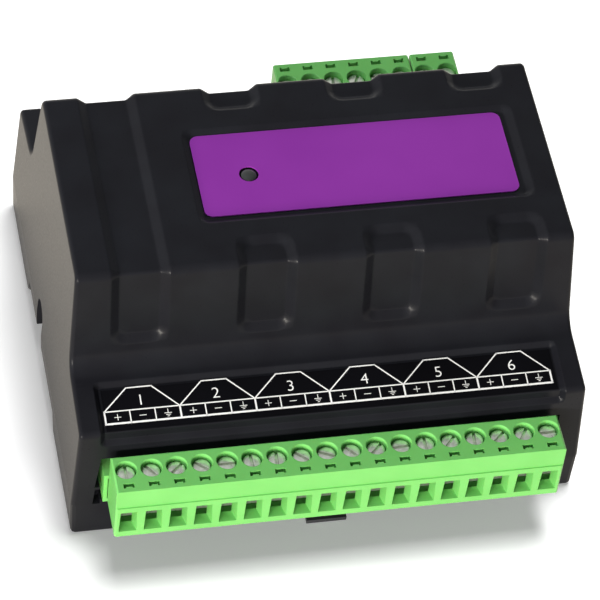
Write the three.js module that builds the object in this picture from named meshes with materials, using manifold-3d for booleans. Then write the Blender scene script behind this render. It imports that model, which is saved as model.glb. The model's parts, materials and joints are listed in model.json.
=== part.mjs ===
import * as THREE from 'three';
import { mergeVertices } from 'three/addons/utils/BufferGeometryUtils.js';
import Module from 'manifold-3d';

// A splitter for a stage lighting data line, in a rail housing six modules wide.
// X runs along the rail. The outputs face -Y, the input and the power face +Y, and Z points away
// from the rail. The origin is the middle of the underside, and lengths are in millimetres.

const wasm = await Module();
wasm.setup();

// Clearances and helpers' sizes
const overrun = 2;
const seatGap = 0.3;
const glueLine = 0.05;
const weldDistance = 0.0001;

// Housing, whose section is the same from end to end
const housingLength = 106;
const housingDepth = 90;
const housingHeight = 56.6;
const partingHeight = 10;
const wall = 2;
const wallLean = 0.8;
const shoulderHeight = 31.8;
const shelfRise = 2.1;
const shelfDepth = 16.9;
const noseLean = 4;
const endInset = 2.24;
const footInset = 0.4;
const cornerRadius = 1.3;
const footRadius = 2.4;
const endEdgeRadius = 0.9;

// Finger grooves over the two long edges of the nose
const groovePitch = 25.5;
const grooveWidth = 12.2;
const grooveSlope = 2;
const grooveDepth = 1;
const grooveCornerRadius = 1.6;
const grooveTopReach = 7.5;
const grooveFootRise = 4.4;

// Recess for the purple film on top
const labelRecessFromLeft = 28.8;
const labelRecessFromRight = 7.65;
const labelRecessFromGrooves = 3.75;
const labelRecessY = -0.3;
const labelRecessDepth = 1;
const labelRecessSlope = 1.2;
const recessCornerRadius = 1.2;
const labelMarginLeft = 1.75;
const labelMarginRight = 2.95;
const labelMarginFront = 2.45;
const labelMarginRear = 1.65;
const labelRadius = 1.8;
const filmThickness = 0.25;

// Recess for the terminal legend, which wraps from the shelf down the wall
const legendRecessFromEnd = 5.3;
const legendRecessReach = 12;
const legendRecessDrop = 3.9;
const legendRecessDepth = 1;
const legendRecessSlope = 1.1;
const legendMargin = 1.5;
const legendWidth = 9.4;
const legendSetback = 0.6;

// Base tray and its tongue, which reaches up inside the cover
const tongueThickness = 1.2;
const tongueHeight = 3;
const floorThickness = 2;
const channelPlate = 1.6;
const baseCornerRadius = 1.2;

// Rail channel for a 35 mm rail, with a fixed hook along its rear edge
const railWidth = 35;
const channelHeight = 5.9;
const channelFrontBreadth = 18.8;
const channelFrontTop = 17.7;
const channelMouth = 21;
const channelChamferTop = 15.3;
const hookReach = 2.3;
const hookThickness = 1.2;
const hookGroove = 1.4;
const hookMouth = 18.9;

// Arched notch in each end wall, above the channel
const archWidth = 6.4;
const archRise = 6.4;
const archY = 2.8;

// Snap lugs between the base tongue and the cover's end walls
const snapBreadth = 6;
const snapFromFace = 14;
const snapReach = 0.7;
const snapHeight = 1.4;
const snapLift = 0.7;

// Circuit board on four bosses
const boardEndGap = 0.9;
const boardSideGap = 0.5;
const boardThickness = 1.6;
const boardRadius = 1.5;
const bossDiameter = 6.6;
const bossHoleDiameter = 3.5;
const bossHoleDepth = 6;
const bossFromEnd = 4.6;
const bossFromEdge = 14;
const boardHoleDiameter = 3.7;

// Pluggable terminals, as many outputs as the housing has room for
const pitch = 5.08;
const polesPerOutput = 3;
const outputMargin = 7;
const inputPoles = 6;
const powerPoles = 2;
const plugSideGap = 0.15;
const plugLift = 1;
const plugHeight = 14.4;
const plugStandOff = 1.3;
const plugDepth = 9.2;
const plugEdge = 0.5;
const plugGrooveRise = 9.15;
const plugGrooveWidth = 0.3;
const plugGrooveDepth = 0.4;
const plugGrooveInset = 0.8;
const plugTongueLength = 7.4;
const wellDiameter = 4.2;
const wellSetback = 5.7;
const wellDepth = 3.7;
const shankBore = 3;
const probeLength = 2.2;
const probeWidth = 1.15;
const probeSetback = 1.8;
const probeDepth = 2;
const funnelWidth = 3.8;
const funnelRise = 1.6;
const funnelHeight = 6.15;
const funnelDepth = 2.3;
const wireHoleWidth = 2.4;
const wireHoleHeight = 5.8;
const wireHoleDepth = 7.3;
const socketWidth = 2;
const socketDepth = 7.1;

// Clamp screws
const screwHeadDiameter = 3.7;
const screwHeadHeight = 2.2;
const screwShankDiameter = 2.4;
const screwLength = 4.4;
const screwSlotWidth = 0.6;
const screwSlotDepth = 0.8;
const outputSlotAngles = [90, 128, 42, 140, 0, 92, 86, 138, 155, 132, 45, 4, 90, 50, 86, 44, 60, 2];
const inputSlotAngles = [30, 110, 84, 66, 140, 12];
const powerSlotAngles = [75, 128];

// Pin headers
const headerHeight = 8.6;
const headerWall = 1;
const headerEnd = 0.8;
const headerDepth = 12;
const headerSetback = 0.5;
const headerBackWall = 3;
const polariseWidth = 0.8;
const polariseHeight = 0.6;
const pinThickness = 1;
const pinSetback = 2;
const pinTail = 1.4;
const pinHoleDiameter = 2;

// Openings for the headers in the long walls
const openingGap = 0.55;
const openingHeadroom = 4;
const openingRise = 1.3;

// Rail latch with its spring
const latchHalfWidth = 10;
const latchThickness = 2.5;
const latchLift = 0.2;
const latchNoseBreadth = 15;
const latchNoseChamfer = 1.2;
const latchSetback = 7.6;
const tabHalfWidth = 4.2;
const tabThickness = 1;
const tabStandOut = 3.2;
const tabSlotLength = 4.6;
const tabSlotWidth = 0.9;
const tabSlotSetback = 2.3;
const lipThickness = 1.5;
const windowHalfWidth = 1.9;
const windowFrontWall = 2.4;
const windowRearSpace = 3.2;
const pegThickness = 2;
const springRadius = 1.1;
const springWire = 0.45;
const springPitch = 1.18;
const fewestTurns = 2;
const guideWall = 2;

// Light pipe and its collar under the top
const lightFromRecess = 12.3;
const lightHoleDiameter = 3.8;
const lightDiameter = 3.2;
const lightSink = 0.15;
const collarDiameter = 6.2;
const collarLength = 10;
const flangeDiameter = 5.4;
const flangeThickness = 1.2;
const ledDiameter = 3;
const ledHeight = 4.6;
const ledRimDiameter = 3.6;
const ledRimHeight = 0.9;

// Parts on the board. The larger ones stand on a grid of the terminals' pitch, counted in x from
// the power plug's left end and in y from the middle of the board.
const controllerShares = [-6, -1];
const crystalShares = [-3, -1];
const converterShares = [-1, 2];
const inductorShares = [-1, 0];
const capacitorShares = [[-4, 2], [-6, 2]];
const fuseShares = [0, 4.4];
const driverSetback = 8.8;
const driverLength = 4.9;
const driverWidth = 3.9;
const driverHeight = 1.5;
const leadWidth = 0.42;
const leadThickness = 0.2;
const leadReach = 1.05;
const leadPitch = 1.27;
const driverLeadCount = 4;
const controllerLength = 12.8;
const controllerWidth = 7.5;
const controllerHeight = 2.4;
const controllerLeadCount = 10;
const converterLength = 19.6;
const converterWidth = 7.6;
const converterHeight = 10.2;
const capacitorDiameter = 8;
const capacitorHeight = 11.5;
const capacitorNeck = 0.45;
const capacitorBead = 1.1;
const inductorSize = 10;
const inductorHeight = 4.6;
const inductorChamfer = 1.8;
const fuseDiameter = 7.4;
const fuseThickness = 2.6;
const fuseLift = 1.2;
const fuseLegSpan = 5.1;
const fuseLegWidth = 0.7;
const crystalLength = 11;
const crystalWidth = 4.6;
const crystalHeight = 3.4;
const crystalRim = 0.5;
const boardScrewHead = 5.6;
const boardScrewHeadHeight = 1.9;
const boardScrewShank = 2.9;
const boardScrewLength = 7;
const boardScrewChamfer = 0.5;
const boardScrewSocket = 2;

// Facet counts
const cornerSteps = 2;
const edgeSteps = 2;
const wellSides = 12;
const boreSides = 6;
const screwSides = 10;
const boardScrewSides = 10;
const holeSides = 12;
const pipeSides = 16;
const canSides = 12;
const wireSides = 5;
const turnSteps = 8;
const measureSteps = 32;

// Derived places of the housing
const halfLength = housingLength / 2;
const halfDepth = housingDepth / 2;
const shoulderBreadth = halfDepth - wallLean;
const shelfInnerHeight = shoulderHeight + shelfRise;
const noseFootBreadth = halfDepth - shelfDepth;
const noseTopBreadth = noseFootBreadth - noseLean;
const baseWall = wall + seatGap + tongueThickness;
const archTop = partingHeight + archRise;
const snapY = halfDepth - snapFromFace;

// Derived places of the grooves and recesses
const grooveCount = Math.floor(housingLength / groovePitch);
const grooveTopBreadth = noseTopBreadth - grooveTopReach;
const grooveFootHeight = shelfInnerHeight + grooveFootRise;
const labelRecessLength = housingLength - labelRecessFromLeft - labelRecessFromRight;
const labelRecessBreadth = 2 * (grooveTopBreadth - labelRecessFromGrooves);
const labelRecessX = (labelRecessFromLeft - labelRecessFromRight) / 2;
const labelLength = labelRecessLength - labelMarginLeft - labelMarginRight;
const labelBreadth = labelRecessBreadth - labelMarginFront - labelMarginRear;
const labelX = labelRecessX + (labelMarginLeft - labelMarginRight) / 2;
const labelY = labelRecessY + (labelMarginFront - labelMarginRear) / 2;
const lightX = labelRecessFromLeft + lightFromRecess - halfLength;
const lightY = labelRecessY;
const legendRecessLength = housingLength - 2 * legendRecessFromEnd;
const legendRecessBreadth = shoulderBreadth - legendRecessReach;
const legendRecessFoot = shoulderHeight - legendRecessDrop;
const legendLength = legendRecessLength - 2 * legendMargin;

// Derived places of the board, the plugs and the headers
const boardLength = housingLength - 2 * (baseWall + boardEndGap);
const boardBreadth = housingDepth - 2 * (baseWall + boardSideGap);
const bossX = boardLength / 2 - bossFromEnd;
const bossY = boardBreadth / 2 - bossFromEdge;
const boardBottom = partingHeight;
const boardTop = boardBottom + boardThickness;
const outputs = Math.floor((housingLength - 2 * outputMargin) / (polesPerOutput * pitch));
const outputPoles = outputs * polesPerOutput;
const outputLeft = -outputPoles * pitch / 2;
const powerLeft = -outputLeft - powerPoles * pitch;
const inputLeft = powerLeft - inputPoles * pitch;
const plugBottom = boardTop + plugLift;
const plugTop = plugBottom + plugHeight;
const plugRear = halfDepth + plugStandOff;
const plugFace = plugRear + plugDepth;
const tongueReach = plugRear - plugTongueLength;
const wellBreadth = plugFace - wellSetback;
const probeBreadth = plugFace - probeSetback;
const wireHoleBreadth = plugFace - wireHoleDepth;
const socketBreadth = tongueReach + socketDepth;
const plugGrooveHeight = plugBottom + plugGrooveRise;
const funnelBottom = plugBottom + funnelRise;
const funnelTop = funnelBottom + funnelHeight;
const headerFace = plugRear - headerSetback;
const headerBack = headerFace - headerDepth;
const pinTip = headerFace - pinSetback;
const openingTop = boardTop + headerHeight + openingHeadroom;
const openingFoot = partingHeight + openingRise;

// Derived places of the latch and its guide
const guideFloor = lipThickness;
const latchBottom = guideFloor + seatGap;
const latchTop = latchBottom + latchThickness;
const guideTop = latchTop + seatGap;
const latchFront = halfDepth - latchSetback;
const tabReach = halfDepth + tabStandOut;
const tabSlotBreadth = tabReach - tabSlotSetback;
const windowFront = latchFront - windowFrontWall;
const windowRear = channelFrontBreadth + windowRearSpace;

function solidOf(geometry) {
  const bare = geometry.index ? geometry.toNonIndexed() : geometry.clone();
  bare.deleteAttribute('normal');
  bare.deleteAttribute('uv');
  const welded = mergeVertices(bare, weldDistance);
  const vertProperties = Float32Array.from(welded.attributes.position.array);
  const triVerts = Uint32Array.from(welded.index.array);
  return new wasm.Manifold(new wasm.Mesh({ numProp: 3, vertProperties, triVerts }));
}

function geometryOf(solid) {
  const faces = solid.getMesh();
  const geometry = new THREE.BufferGeometry();
  geometry.setAttribute('position', new THREE.BufferAttribute(faces.vertProperties, 3));
  geometry.setIndex(new THREE.BufferAttribute(faces.triVerts, 1));
  geometry.computeVertexNormals();
  return geometry;
}

function joined(solids) {
  return solids.reduce((sum, next) => sum.add(next));
}

function cut(solid, cutters) {
  return solid.subtract(joined(cutters));
}

// A block between two opposite corners
function block(low, high) {
  const size = high.map((value, axis) => value - low[axis]);
  const middle = high.map((value, axis) => (value + low[axis]) / 2);
  const geometry = new THREE.BoxGeometry(...size);
  geometry.translate(...middle);
  return solidOf(geometry);
}

// A block given by its middle line in x, its reach in breadth to one side of the housing, and z
function sideBlock(side, x0, x1, inner, outer, z0, z1) {
  const ys = [side * inner, side * outer].sort((a, b) => a - b);
  return block([x0, ys[0], z0], [x1, ys[1], z1]);
}

// A closed outline, anticlockwise, whose corners are [across, up, radius]
function outline(corners) {
  const shape = new THREE.Shape();
  const points = corners.map(([across, up]) => new THREE.Vector2(across, up));
  corners.forEach(([, , radius = 0], index) => {
    const here = points[index];
    const back = points[(index + points.length - 1) % points.length].clone().sub(here).normalize();
    const on = points[(index + 1) % points.length].clone().sub(here).normalize();
    const half = Math.acos(back.dot(on)) / 2;
    const start = here.clone().addScaledVector(back, radius / Math.tan(half));
    const end = here.clone().addScaledVector(on, radius / Math.tan(half));
    if (index === 0) shape.moveTo(start.x, start.y);
    else shape.lineTo(start.x, start.y);
    if (radius > 0) {
      const inward = back.clone().add(on).normalize();
      const centre = here.clone().addScaledVector(inward, radius / Math.sin(half));
      const from = start.sub(centre).angle();
      const to = end.sub(centre).angle();
      shape.absarc(centre.x, centre.y, radius, from, to, back.cross(on) > 0);
    }
  });
  shape.closePath();
  return shape;
}

function rectangle(width, height, radius) {
  const w = width / 2;
  const h = height / 2;
  return outline([[-w, -h, radius], [w, -h, radius], [w, h, radius], [-w, h, radius]]);
}

// Moves every side of an outline in by one distance
function inset(corners, distance) {
  const points = corners.map(([across, up]) => new THREE.Vector2(across, up));
  const sides = points.map((point, index) => {
    const along = points[(index + 1) % points.length].clone().sub(point).normalize();
    const inward = new THREE.Vector2(-along.y, along.x);
    return { at: point.clone().addScaledVector(inward, distance), along };
  });
  return sides.map((side, index) => {
    const before = sides[(index + sides.length - 1) % sides.length];
    const offset = side.at.clone().sub(before.at);
    const reach = offset.cross(side.along) / before.along.cross(side.along);
    const corner = before.at.clone().addScaledVector(before.along, reach);
    return [corner.x, corner.y];
  });
}

// Extrudes an outline drawn in (y, z) along X, with rounded end edges where asked
function alongX(shape, x0, x1, edge = 0) {
  const geometry = new THREE.ExtrudeGeometry(shape, {
    depth: x1 - x0 - 2 * edge,
    bevelEnabled: edge > 0,
    bevelThickness: edge,
    bevelSize: edge,
    bevelOffset: -edge,
    bevelSegments: edgeSteps,
    curveSegments: cornerSteps,
  });
  const toPlace = new THREE.Matrix4().makeBasis(
    new THREE.Vector3(0, 1, 0), new THREE.Vector3(0, 0, 1), new THREE.Vector3(1, 0, 0));
  geometry.applyMatrix4(toPlace);
  geometry.translate(x0 + edge, 0, 0);
  return geometry;
}

function alongZ(shape, z0, z1, steps = cornerSteps) {
  const geometry = new THREE.ExtrudeGeometry(shape, {
    depth: z1 - z0, bevelEnabled: false, curveSegments: steps,
  });
  geometry.translate(0, 0, z0);
  return geometry;
}

function cylinder(x, y, z0, z1, diameter, sides) {
  const geometry = new THREE.CylinderGeometry(diameter / 2, diameter / 2, z1 - z0, sides);
  geometry.rotateX(Math.PI / 2);
  geometry.translate(x, y, (z0 + z1) / 2);
  return solidOf(geometry);
}

// Turns a profile of [radius, z] corners about an upright axis through (x, y)
function turned(x, y, profile, sides) {
  const points = profile.map(([radius, z]) => new THREE.Vector2(radius, z));
  const geometry = new THREE.LatheGeometry(points, sides);
  geometry.rotateX(Math.PI / 2);
  geometry.translate(x, y, 0);
  return geometry;
}

// Leans the two ends of the housing in above and below the parting line
function drafted(geometry) {
  const places = geometry.attributes.position;
  for (let i = 0; i < places.count; i += 1) {
    const above = Math.max(places.getZ(i) - partingHeight, 0);
    const below = Math.max(partingHeight - places.getZ(i), 0);
    const lean = (endInset * above) / (housingHeight - partingHeight)
      + (footInset * below) / partingHeight;
    places.setX(i, places.getX(i) * (1 - lean / halfLength));
  }
  return geometry;
}

// A pocket with sloping walls, drawn on the plane z = 0 and sunk below it
function pocket(width, height, depth, slope, radius) {
  return new THREE.ExtrudeGeometry(rectangle(width - 2 * slope, height - 2 * slope, radius), {
    depth: overrun,
    bevelEnabled: true,
    bevelThickness: depth,
    bevelSize: slope,
    bevelSegments: 1,
    curveSegments: cornerSteps,
  });
}

// Lays a drawing made on z = 0 onto a long face of the housing. The face runs from one corner
// of the section to the next, each given as [breadth, height], on the front or the rear side.
function ontoFace(geometry, side, from, to, x, distance, lift = 0) {
  const xAxis = new THREE.Vector3(-side, 0, 0);
  const yAxis = new THREE.Vector3(0, side * (to[0] - from[0]), to[1] - from[1]).normalize();
  const zAxis = xAxis.clone().cross(yAxis);
  const place = new THREE.Vector3(x, side * from[0], from[1])
    .addScaledVector(yAxis, distance)
    .addScaledVector(zAxis, lift);
  geometry.applyMatrix4(new THREE.Matrix4().makeBasis(xAxis, yAxis, zAxis).setPosition(place));
  return geometry;
}

function span(from, to) {
  return Math.hypot(to[0] - from[0], to[1] - from[1]);
}

// Corners of the section in [breadth, height]
const wallFoot = [halfDepth, partingHeight];
const shoulder = [shoulderBreadth, shoulderHeight];
const noseFoot = [noseFootBreadth, shelfInnerHeight];
const noseTop = [noseTopBreadth, housingHeight];

function coverSection(footHeight) {
  const right = [[halfDepth, footHeight], shoulder, noseFoot, noseTop];
  const left = right.slice().reverse().map(([breadth, height]) => [-breadth, height]);
  return [...right, ...left];
}

function openingX(side) {
  const left = side < 0 ? outputLeft : inputLeft;
  const poles = side < 0 ? outputPoles : inputPoles + powerPoles;
  const past = plugSideGap + headerEnd + openingGap;
  return [left - past, left + poles * pitch + past];
}

function openingCutter(side, z0, z1) {
  const [x0, x1] = openingX(side);
  return sideBlock(side, x0, x1, halfDepth - baseWall - wallLean - overrun, halfDepth + overrun, z0, z1);
}

// The arched notch that looks onto the edge of the board
function archCutter() {
  const half = archWidth / 2;
  const shape = new THREE.Shape();
  shape.moveTo(archY - half, channelHeight - channelPlate);
  shape.lineTo(archY + half, channelHeight - channelPlate);
  shape.absarc(archY, archTop - half, half, 0, Math.PI, false);
  shape.closePath();
  const geometry = alongX(shape, -halfLength - overrun, -halfLength + baseWall + overrun);
  const left = solidOf(geometry);
  return [left, left.mirror([1, 0, 0])];
}

function grooveCutters() {
  const slopeLength = span(noseFoot, noseTop);
  const foot = slopeLength * (grooveFootHeight - noseFoot[1]) / (noseTop[1] - noseFoot[1]);
  const topLength = noseTopBreadth - grooveTopBreadth;
  const cutters = [];
  for (let i = 0; i < grooveCount; i += 1) {
    const x = (i - (grooveCount - 1) / 2) * groovePitch;
    for (const side of [-1, 1]) {
      const down = slopeLength - foot + 2 * overrun;
      const slopePocket = pocket(grooveWidth, down, grooveDepth, grooveSlope, grooveCornerRadius);
      cutters.push(solidOf(ontoFace(slopePocket, side, noseFoot, noseTop, x, foot + down / 2)));
      const inward = topLength + 2 * overrun;
      const topPocket = pocket(grooveWidth, inward, grooveDepth, grooveSlope, grooveCornerRadius);
      topPocket.translate(x, side * (grooveTopBreadth + inward / 2), housingHeight);
      cutters.push(solidOf(topPocket));
    }
  }
  // The groove at the left end runs right across the top
  const across = pocket(
    grooveWidth, 2 * noseTopBreadth + 2 * overrun, grooveDepth, grooveSlope, grooveCornerRadius);
  across.translate(-(grooveCount - 1) / 2 * groovePitch, 0, housingHeight);
  cutters.push(solidOf(across));
  return cutters;
}

function recessCutters() {
  const label = pocket(
    labelRecessLength, labelRecessBreadth, labelRecessDepth, labelRecessSlope, recessCornerRadius);
  label.translate(labelRecessX, labelRecessY, housingHeight);
  const cutters = [solidOf(label)];
  const shelfReach = span(shoulder, noseFoot)
    * (shoulderBreadth - legendRecessBreadth) / (shoulderBreadth - noseFootBreadth);
  const wallReach = span(wallFoot, shoulder)
    * (shoulderHeight - legendRecessFoot) / (shoulderHeight - partingHeight);
  for (const side of [-1, 1]) {
    const shelf = pocket(
      legendRecessLength, shelfReach + 2 * overrun, legendRecessDepth, legendRecessSlope,
      recessCornerRadius);
    const shelfMiddle = shelfReach / 2 - overrun;
    cutters.push(solidOf(ontoFace(shelf, side, shoulder, noseFoot, 0, shelfMiddle)));
    const drop = pocket(
      legendRecessLength, wallReach + 2 * overrun, legendRecessDepth, legendRecessSlope,
      recessCornerRadius);
    const dropMiddle = span(wallFoot, shoulder) - wallReach / 2 + overrun;
    cutters.push(solidOf(ontoFace(drop, side, wallFoot, shoulder, 0, dropMiddle)));
  }
  return cutters;
}

function snapBlocks(inner, reach, grow) {
  const blocks = [];
  for (const end of [-1, 1]) {
    for (const y of [-snapY, snapY]) {
      const xs = [end * inner, end * (inner + reach)].sort((a, b) => a - b);
      blocks.push(block(
        [xs[0], y - snapBreadth / 2 - grow, partingHeight + snapLift - grow],
        [xs[1], y + snapBreadth / 2 + grow, partingHeight + snapLift + snapHeight + grow]));
    }
  }
  return blocks;
}

function housingCover() {
  const section = coverSection(partingHeight - overrun);
  const radii = [0, cornerRadius, footRadius, cornerRadius, cornerRadius, footRadius, cornerRadius, 0];
  const skin = outline(section.map(([across, up], i) => [across, up, radii[i]]));
  const outer = solidOf(drafted(alongX(skin, -halfLength, halfLength, endEdgeRadius)));
  const core = outline(inset(coverSection(partingHeight - 2 * overrun), wall));
  const inner = solidOf(drafted(alongX(core, -halfLength + wall, halfLength - wall)));
  const below = block(
    [-housingLength, -housingDepth, -housingHeight], [housingLength, housingDepth, partingHeight]);
  const collarFoot = housingHeight - labelRecessDepth - collarLength;
  const shell = outer.subtract(inner)
    .add(cylinder(lightX, lightY, collarFoot, housingHeight - wall, collarDiameter, pipeSides));
  return cut(shell, [
    below,
    ...grooveCutters(),
    ...recessCutters(),
    ...archCutter(),
    openingCutter(-1, openingFoot, openingTop),
    openingCutter(1, openingFoot, openingTop),
    ...snapBlocks(halfLength - wall - overrun, overrun + snapReach + seatGap, seatGap),
    cylinder(lightX, lightY, collarFoot - overrun, housingHeight, lightHoleDiameter, pipeSides),
  ]);
}

// The rail channel between the end walls, whose rear edge hooks under the rail
function channelCutter() {
  const rearWall = railWidth / 2 + seatGap;
  const hookTip = rearWall - hookReach;
  const hookTop = channelHeight - hookGroove;
  const hookFoot = hookTop - hookThickness;
  const section = outline([
    [-channelFrontBreadth, -overrun], [hookMouth, -overrun], [hookMouth, 0],
    [hookTip, hookFoot], [hookTip, hookTop], [rearWall, hookTop], [rearWall, channelHeight],
    [-channelFrontTop, channelHeight], [-channelFrontBreadth, 0],
  ]);
  return solidOf(alongX(section, -halfLength - overrun, halfLength + overrun));
}

// At the end walls the channel flares into a plain lead-in
function mouthCutters() {
  const section = outline([
    [-channelFrontBreadth, -overrun], [channelMouth, -overrun], [channelMouth, 0],
    [channelChamferTop, channelHeight], [-channelFrontTop, channelHeight],
    [-channelFrontBreadth, 0],
  ]);
  const left = solidOf(alongX(section, -halfLength - overrun, -halfLength + baseWall));
  return [left, left.mirror([1, 0, 0])];
}

function trayCutter() {
  const plateTop = channelHeight + channelPlate;
  const side = halfDepth - baseWall;
  const section = outline([
    [-side, floorThickness],
    [-channelFrontBreadth - channelPlate, floorThickness],
    [-channelFrontTop - channelPlate, plateTop],
    [channelChamferTop + channelPlate, plateTop],
    [channelMouth + channelPlate, floorThickness],
    [side, floorThickness],
    [side, partingHeight + tongueHeight + overrun],
    [-side, partingHeight + tongueHeight + overrun],
  ]);
  return solidOf(alongX(section, -halfLength + baseWall, halfLength - baseWall));
}

function latchGuide() {
  const outerHalf = latchHalfWidth + seatGap + guideWall;
  return block(
    [-outerHalf, -(halfDepth - baseWall) - tongueThickness, 0],
    [outerHalf, -channelFrontBreadth, guideTop + channelPlate]);
}

function latchGuideCutters() {
  const slotHalf = latchHalfWidth + seatGap;
  const tabHalf = tabHalfWidth + seatGap;
  const slotFront = halfDepth - baseWall;
  return [
    sideBlock(-1, -slotHalf, slotHalf, channelFrontTop - overrun, slotFront, guideFloor, guideTop),
    sideBlock(-1, -tabHalf, tabHalf, channelFrontTop - overrun, halfDepth + overrun, -overrun,
      guideFloor),
  ];
}

function latchPeg() {
  const half = windowHalfWidth - seatGap;
  const front = windowFront - seatGap;
  return sideBlock(-1, -half, half, front - pegThickness, front, latchBottom, guideTop + channelPlate);
}

function boardPosts() {
  const posts = [];
  for (const x of [-bossX, bossX]) {
    for (const y of [-bossY, bossY]) posts.push([x, y]);
  }
  return posts;
}

function housingBase() {
  const tongueX = halfLength - wall - seatGap;
  const tongueY = halfDepth - wall - seatGap;
  const section = outline([
    [-halfDepth, 0, baseCornerRadius], [halfDepth, 0, baseCornerRadius],
    [halfDepth, partingHeight + overrun], [-halfDepth, partingHeight + overrun],
  ]);
  const outer = solidOf(drafted(alongX(section, -halfLength, halfLength, endEdgeRadius)));
  const above = block(
    [-housingLength, -housingDepth, partingHeight], [housingLength, housingDepth, housingHeight]);
  const tongue = block(
    [-tongueX, -tongueY, partingHeight - tongueHeight],
    [tongueX, tongueY, partingHeight + tongueHeight]);
  const body = outer.subtract(above)
    .add(tongue)
    .subtract(channelCutter())
    .subtract(trayCutter());
  const bosses = boardPosts().map(([x, y]) => (
    cylinder(x, y, floorThickness / 2, boardBottom, bossDiameter, pipeSides)));
  const screwHoles = boardPosts().map(([x, y]) => (
    cylinder(x, y, boardBottom - bossHoleDepth, boardBottom + overrun, bossHoleDiameter, holeSides)));
  const filled = joined([body, ...bosses, latchGuide(), ...snapBlocks(tongueX - wall / 2,
    wall / 2 + snapReach, 0)]);
  return cut(filled, [
    ...screwHoles,
    ...latchGuideCutters(),
    ...mouthCutters(),
    ...archCutter(),
    openingCutter(-1, openingFoot, housingHeight),
    openingCutter(1, openingFoot, housingHeight),
  ]).add(latchPeg());
}

function labelOverlay() {
  const film = alongZ(rectangle(labelLength, labelBreadth, labelRadius), 0, filmThickness);
  const floor = housingHeight - labelRecessDepth;
  film.translate(labelX, labelY, floor + glueLine);
  const hole = cylinder(lightX, lightY, floor - overrun, housingHeight, lightHoleDiameter, pipeSides);
  return solidOf(film).subtract(hole);
}

function legendStrip() {
  const film = alongZ(rectangle(legendLength, legendWidth, 0), 0, filmThickness);
  const inner = span(shoulder, noseFoot)
    * (shoulderBreadth - legendRecessBreadth) / (shoulderBreadth - noseFootBreadth);
  const middle = inner - legendRecessSlope - legendSetback - legendWidth / 2;
  return ontoFace(film, -1, shoulder, noseFoot, 0, middle, glueLine - legendRecessDepth);
}

function railLatch() {
  const window = sideBlock(-1, -windowHalfWidth, windowHalfWidth, windowRear, windowFront,
    -overrun, guideTop);
  const tabSlot = sideBlock(-1, -tabSlotLength / 2, tabSlotLength / 2,
    tabSlotBreadth - tabSlotWidth / 2, tabSlotBreadth + tabSlotWidth / 2, -overrun, guideTop);
  const plate = outline([
    [-latchFront, latchBottom], [-latchNoseBreadth - latchNoseChamfer, latchBottom],
    [-latchNoseBreadth, latchBottom + latchNoseChamfer], [-latchNoseBreadth, latchTop],
    [-latchFront, latchTop],
  ]);
  return cut(joined([
    solidOf(alongX(plate, -latchHalfWidth, latchHalfWidth)),
    sideBlock(-1, -tabHalfWidth, tabHalfWidth, channelFrontBreadth, latchFront, latchLift,
      latchBottom + seatGap),
    sideBlock(-1, -tabHalfWidth, tabHalfWidth, channelFrontBreadth, tabReach, latchLift,
      latchLift + tabThickness),
  ]), [window, tabSlot]);
}

class Helix extends THREE.Curve {
  constructor(radius, start, end, height, turns) {
    super();
    Object.assign(this, { radius, start, end, height, turns });
  }

  getPoint(t, target = new THREE.Vector3()) {
    const angle = 2 * Math.PI * this.turns * t;
    return target.set(
      this.radius * Math.cos(angle),
      this.start + (this.end - this.start) * t,
      this.height + this.radius * Math.sin(angle));
  }
}

// The least space between points of the spring's wire that are more than half a turn apart
function leastGap(path) {
  const points = path.getPoints(path.turns * measureSteps);
  let least = Infinity;
  points.forEach((point, i) => {
    points.slice(i + measureSteps / 2 + 1).forEach((other) => {
      least = Math.min(least, point.distanceTo(other) - springWire);
    });
  });
  return least;
}

function latchSpring() {
  const start = -(windowFront - seatGap - pegThickness - seatGap - springWire / 2);
  const end = -(windowRear + seatGap + springWire / 2);
  const height = latchBottom + latchThickness / 2;
  const springTurns = Math.max(fewestTurns, Math.floor((end - start) / springPitch));
  const path = new Helix(springRadius, start, end, height, springTurns);
  const section = new THREE.Shape();
  for (let i = 0; i < wireSides; i += 1) {
    const angle = 2 * Math.PI * i / wireSides;
    const corner = [springWire / 2 * Math.cos(angle), springWire / 2 * Math.sin(angle)];
    if (i === 0) section.moveTo(...corner);
    else section.lineTo(...corner);
  }
  section.closePath();
  console.log(`least gap between the spring's turns: ${leastGap(path).toFixed(2)} mm`);
  return solidOf(new THREE.ExtrudeGeometry(section, {
    steps: turnSteps * springTurns, extrudePath: path,
  }));
}

function lightPipe() {
  const top = housingHeight - labelRecessDepth - lightSink;
  const flangeTop = housingHeight - labelRecessDepth - collarLength - seatGap;
  const foot = boardTop + ledHeight + seatGap;
  const r = lightDiameter / 2;
  const crown = r * (1 - Math.SQRT1_2);
  return solidOf(turned(lightX, lightY, [
    [0, foot], [r, foot], [r, flangeTop - flangeThickness],
    [flangeDiameter / 2, flangeTop - flangeThickness], [flangeDiameter / 2, flangeTop],
    [r, flangeTop], [r, top - crown], [r * Math.SQRT1_2, top - crown / 2], [0, top],
  ], pipeSides));
}

function statusLed() {
  const r = ledDiameter / 2;
  const rim = ledRimDiameter / 2;
  const shoulderTop = boardTop + ledHeight - r;
  const profile = [[0, boardTop], [rim, boardTop], [rim, boardTop + ledRimHeight],
    [r, boardTop + ledRimHeight], [r, shoulderTop]];
  for (const turn of [1, 2]) {
    const angle = turn * Math.PI / 6;
    profile.push([r * Math.cos(angle), shoulderTop + r * Math.sin(angle)]);
  }
  profile.push([0, boardTop + ledHeight]);
  return solidOf(turned(lightX, lightY, profile, wellSides));
}

function polePlaces(left, poles) {
  return Array.from({ length: poles }, (_, i) => left + (i + 0.5) * pitch);
}

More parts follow.
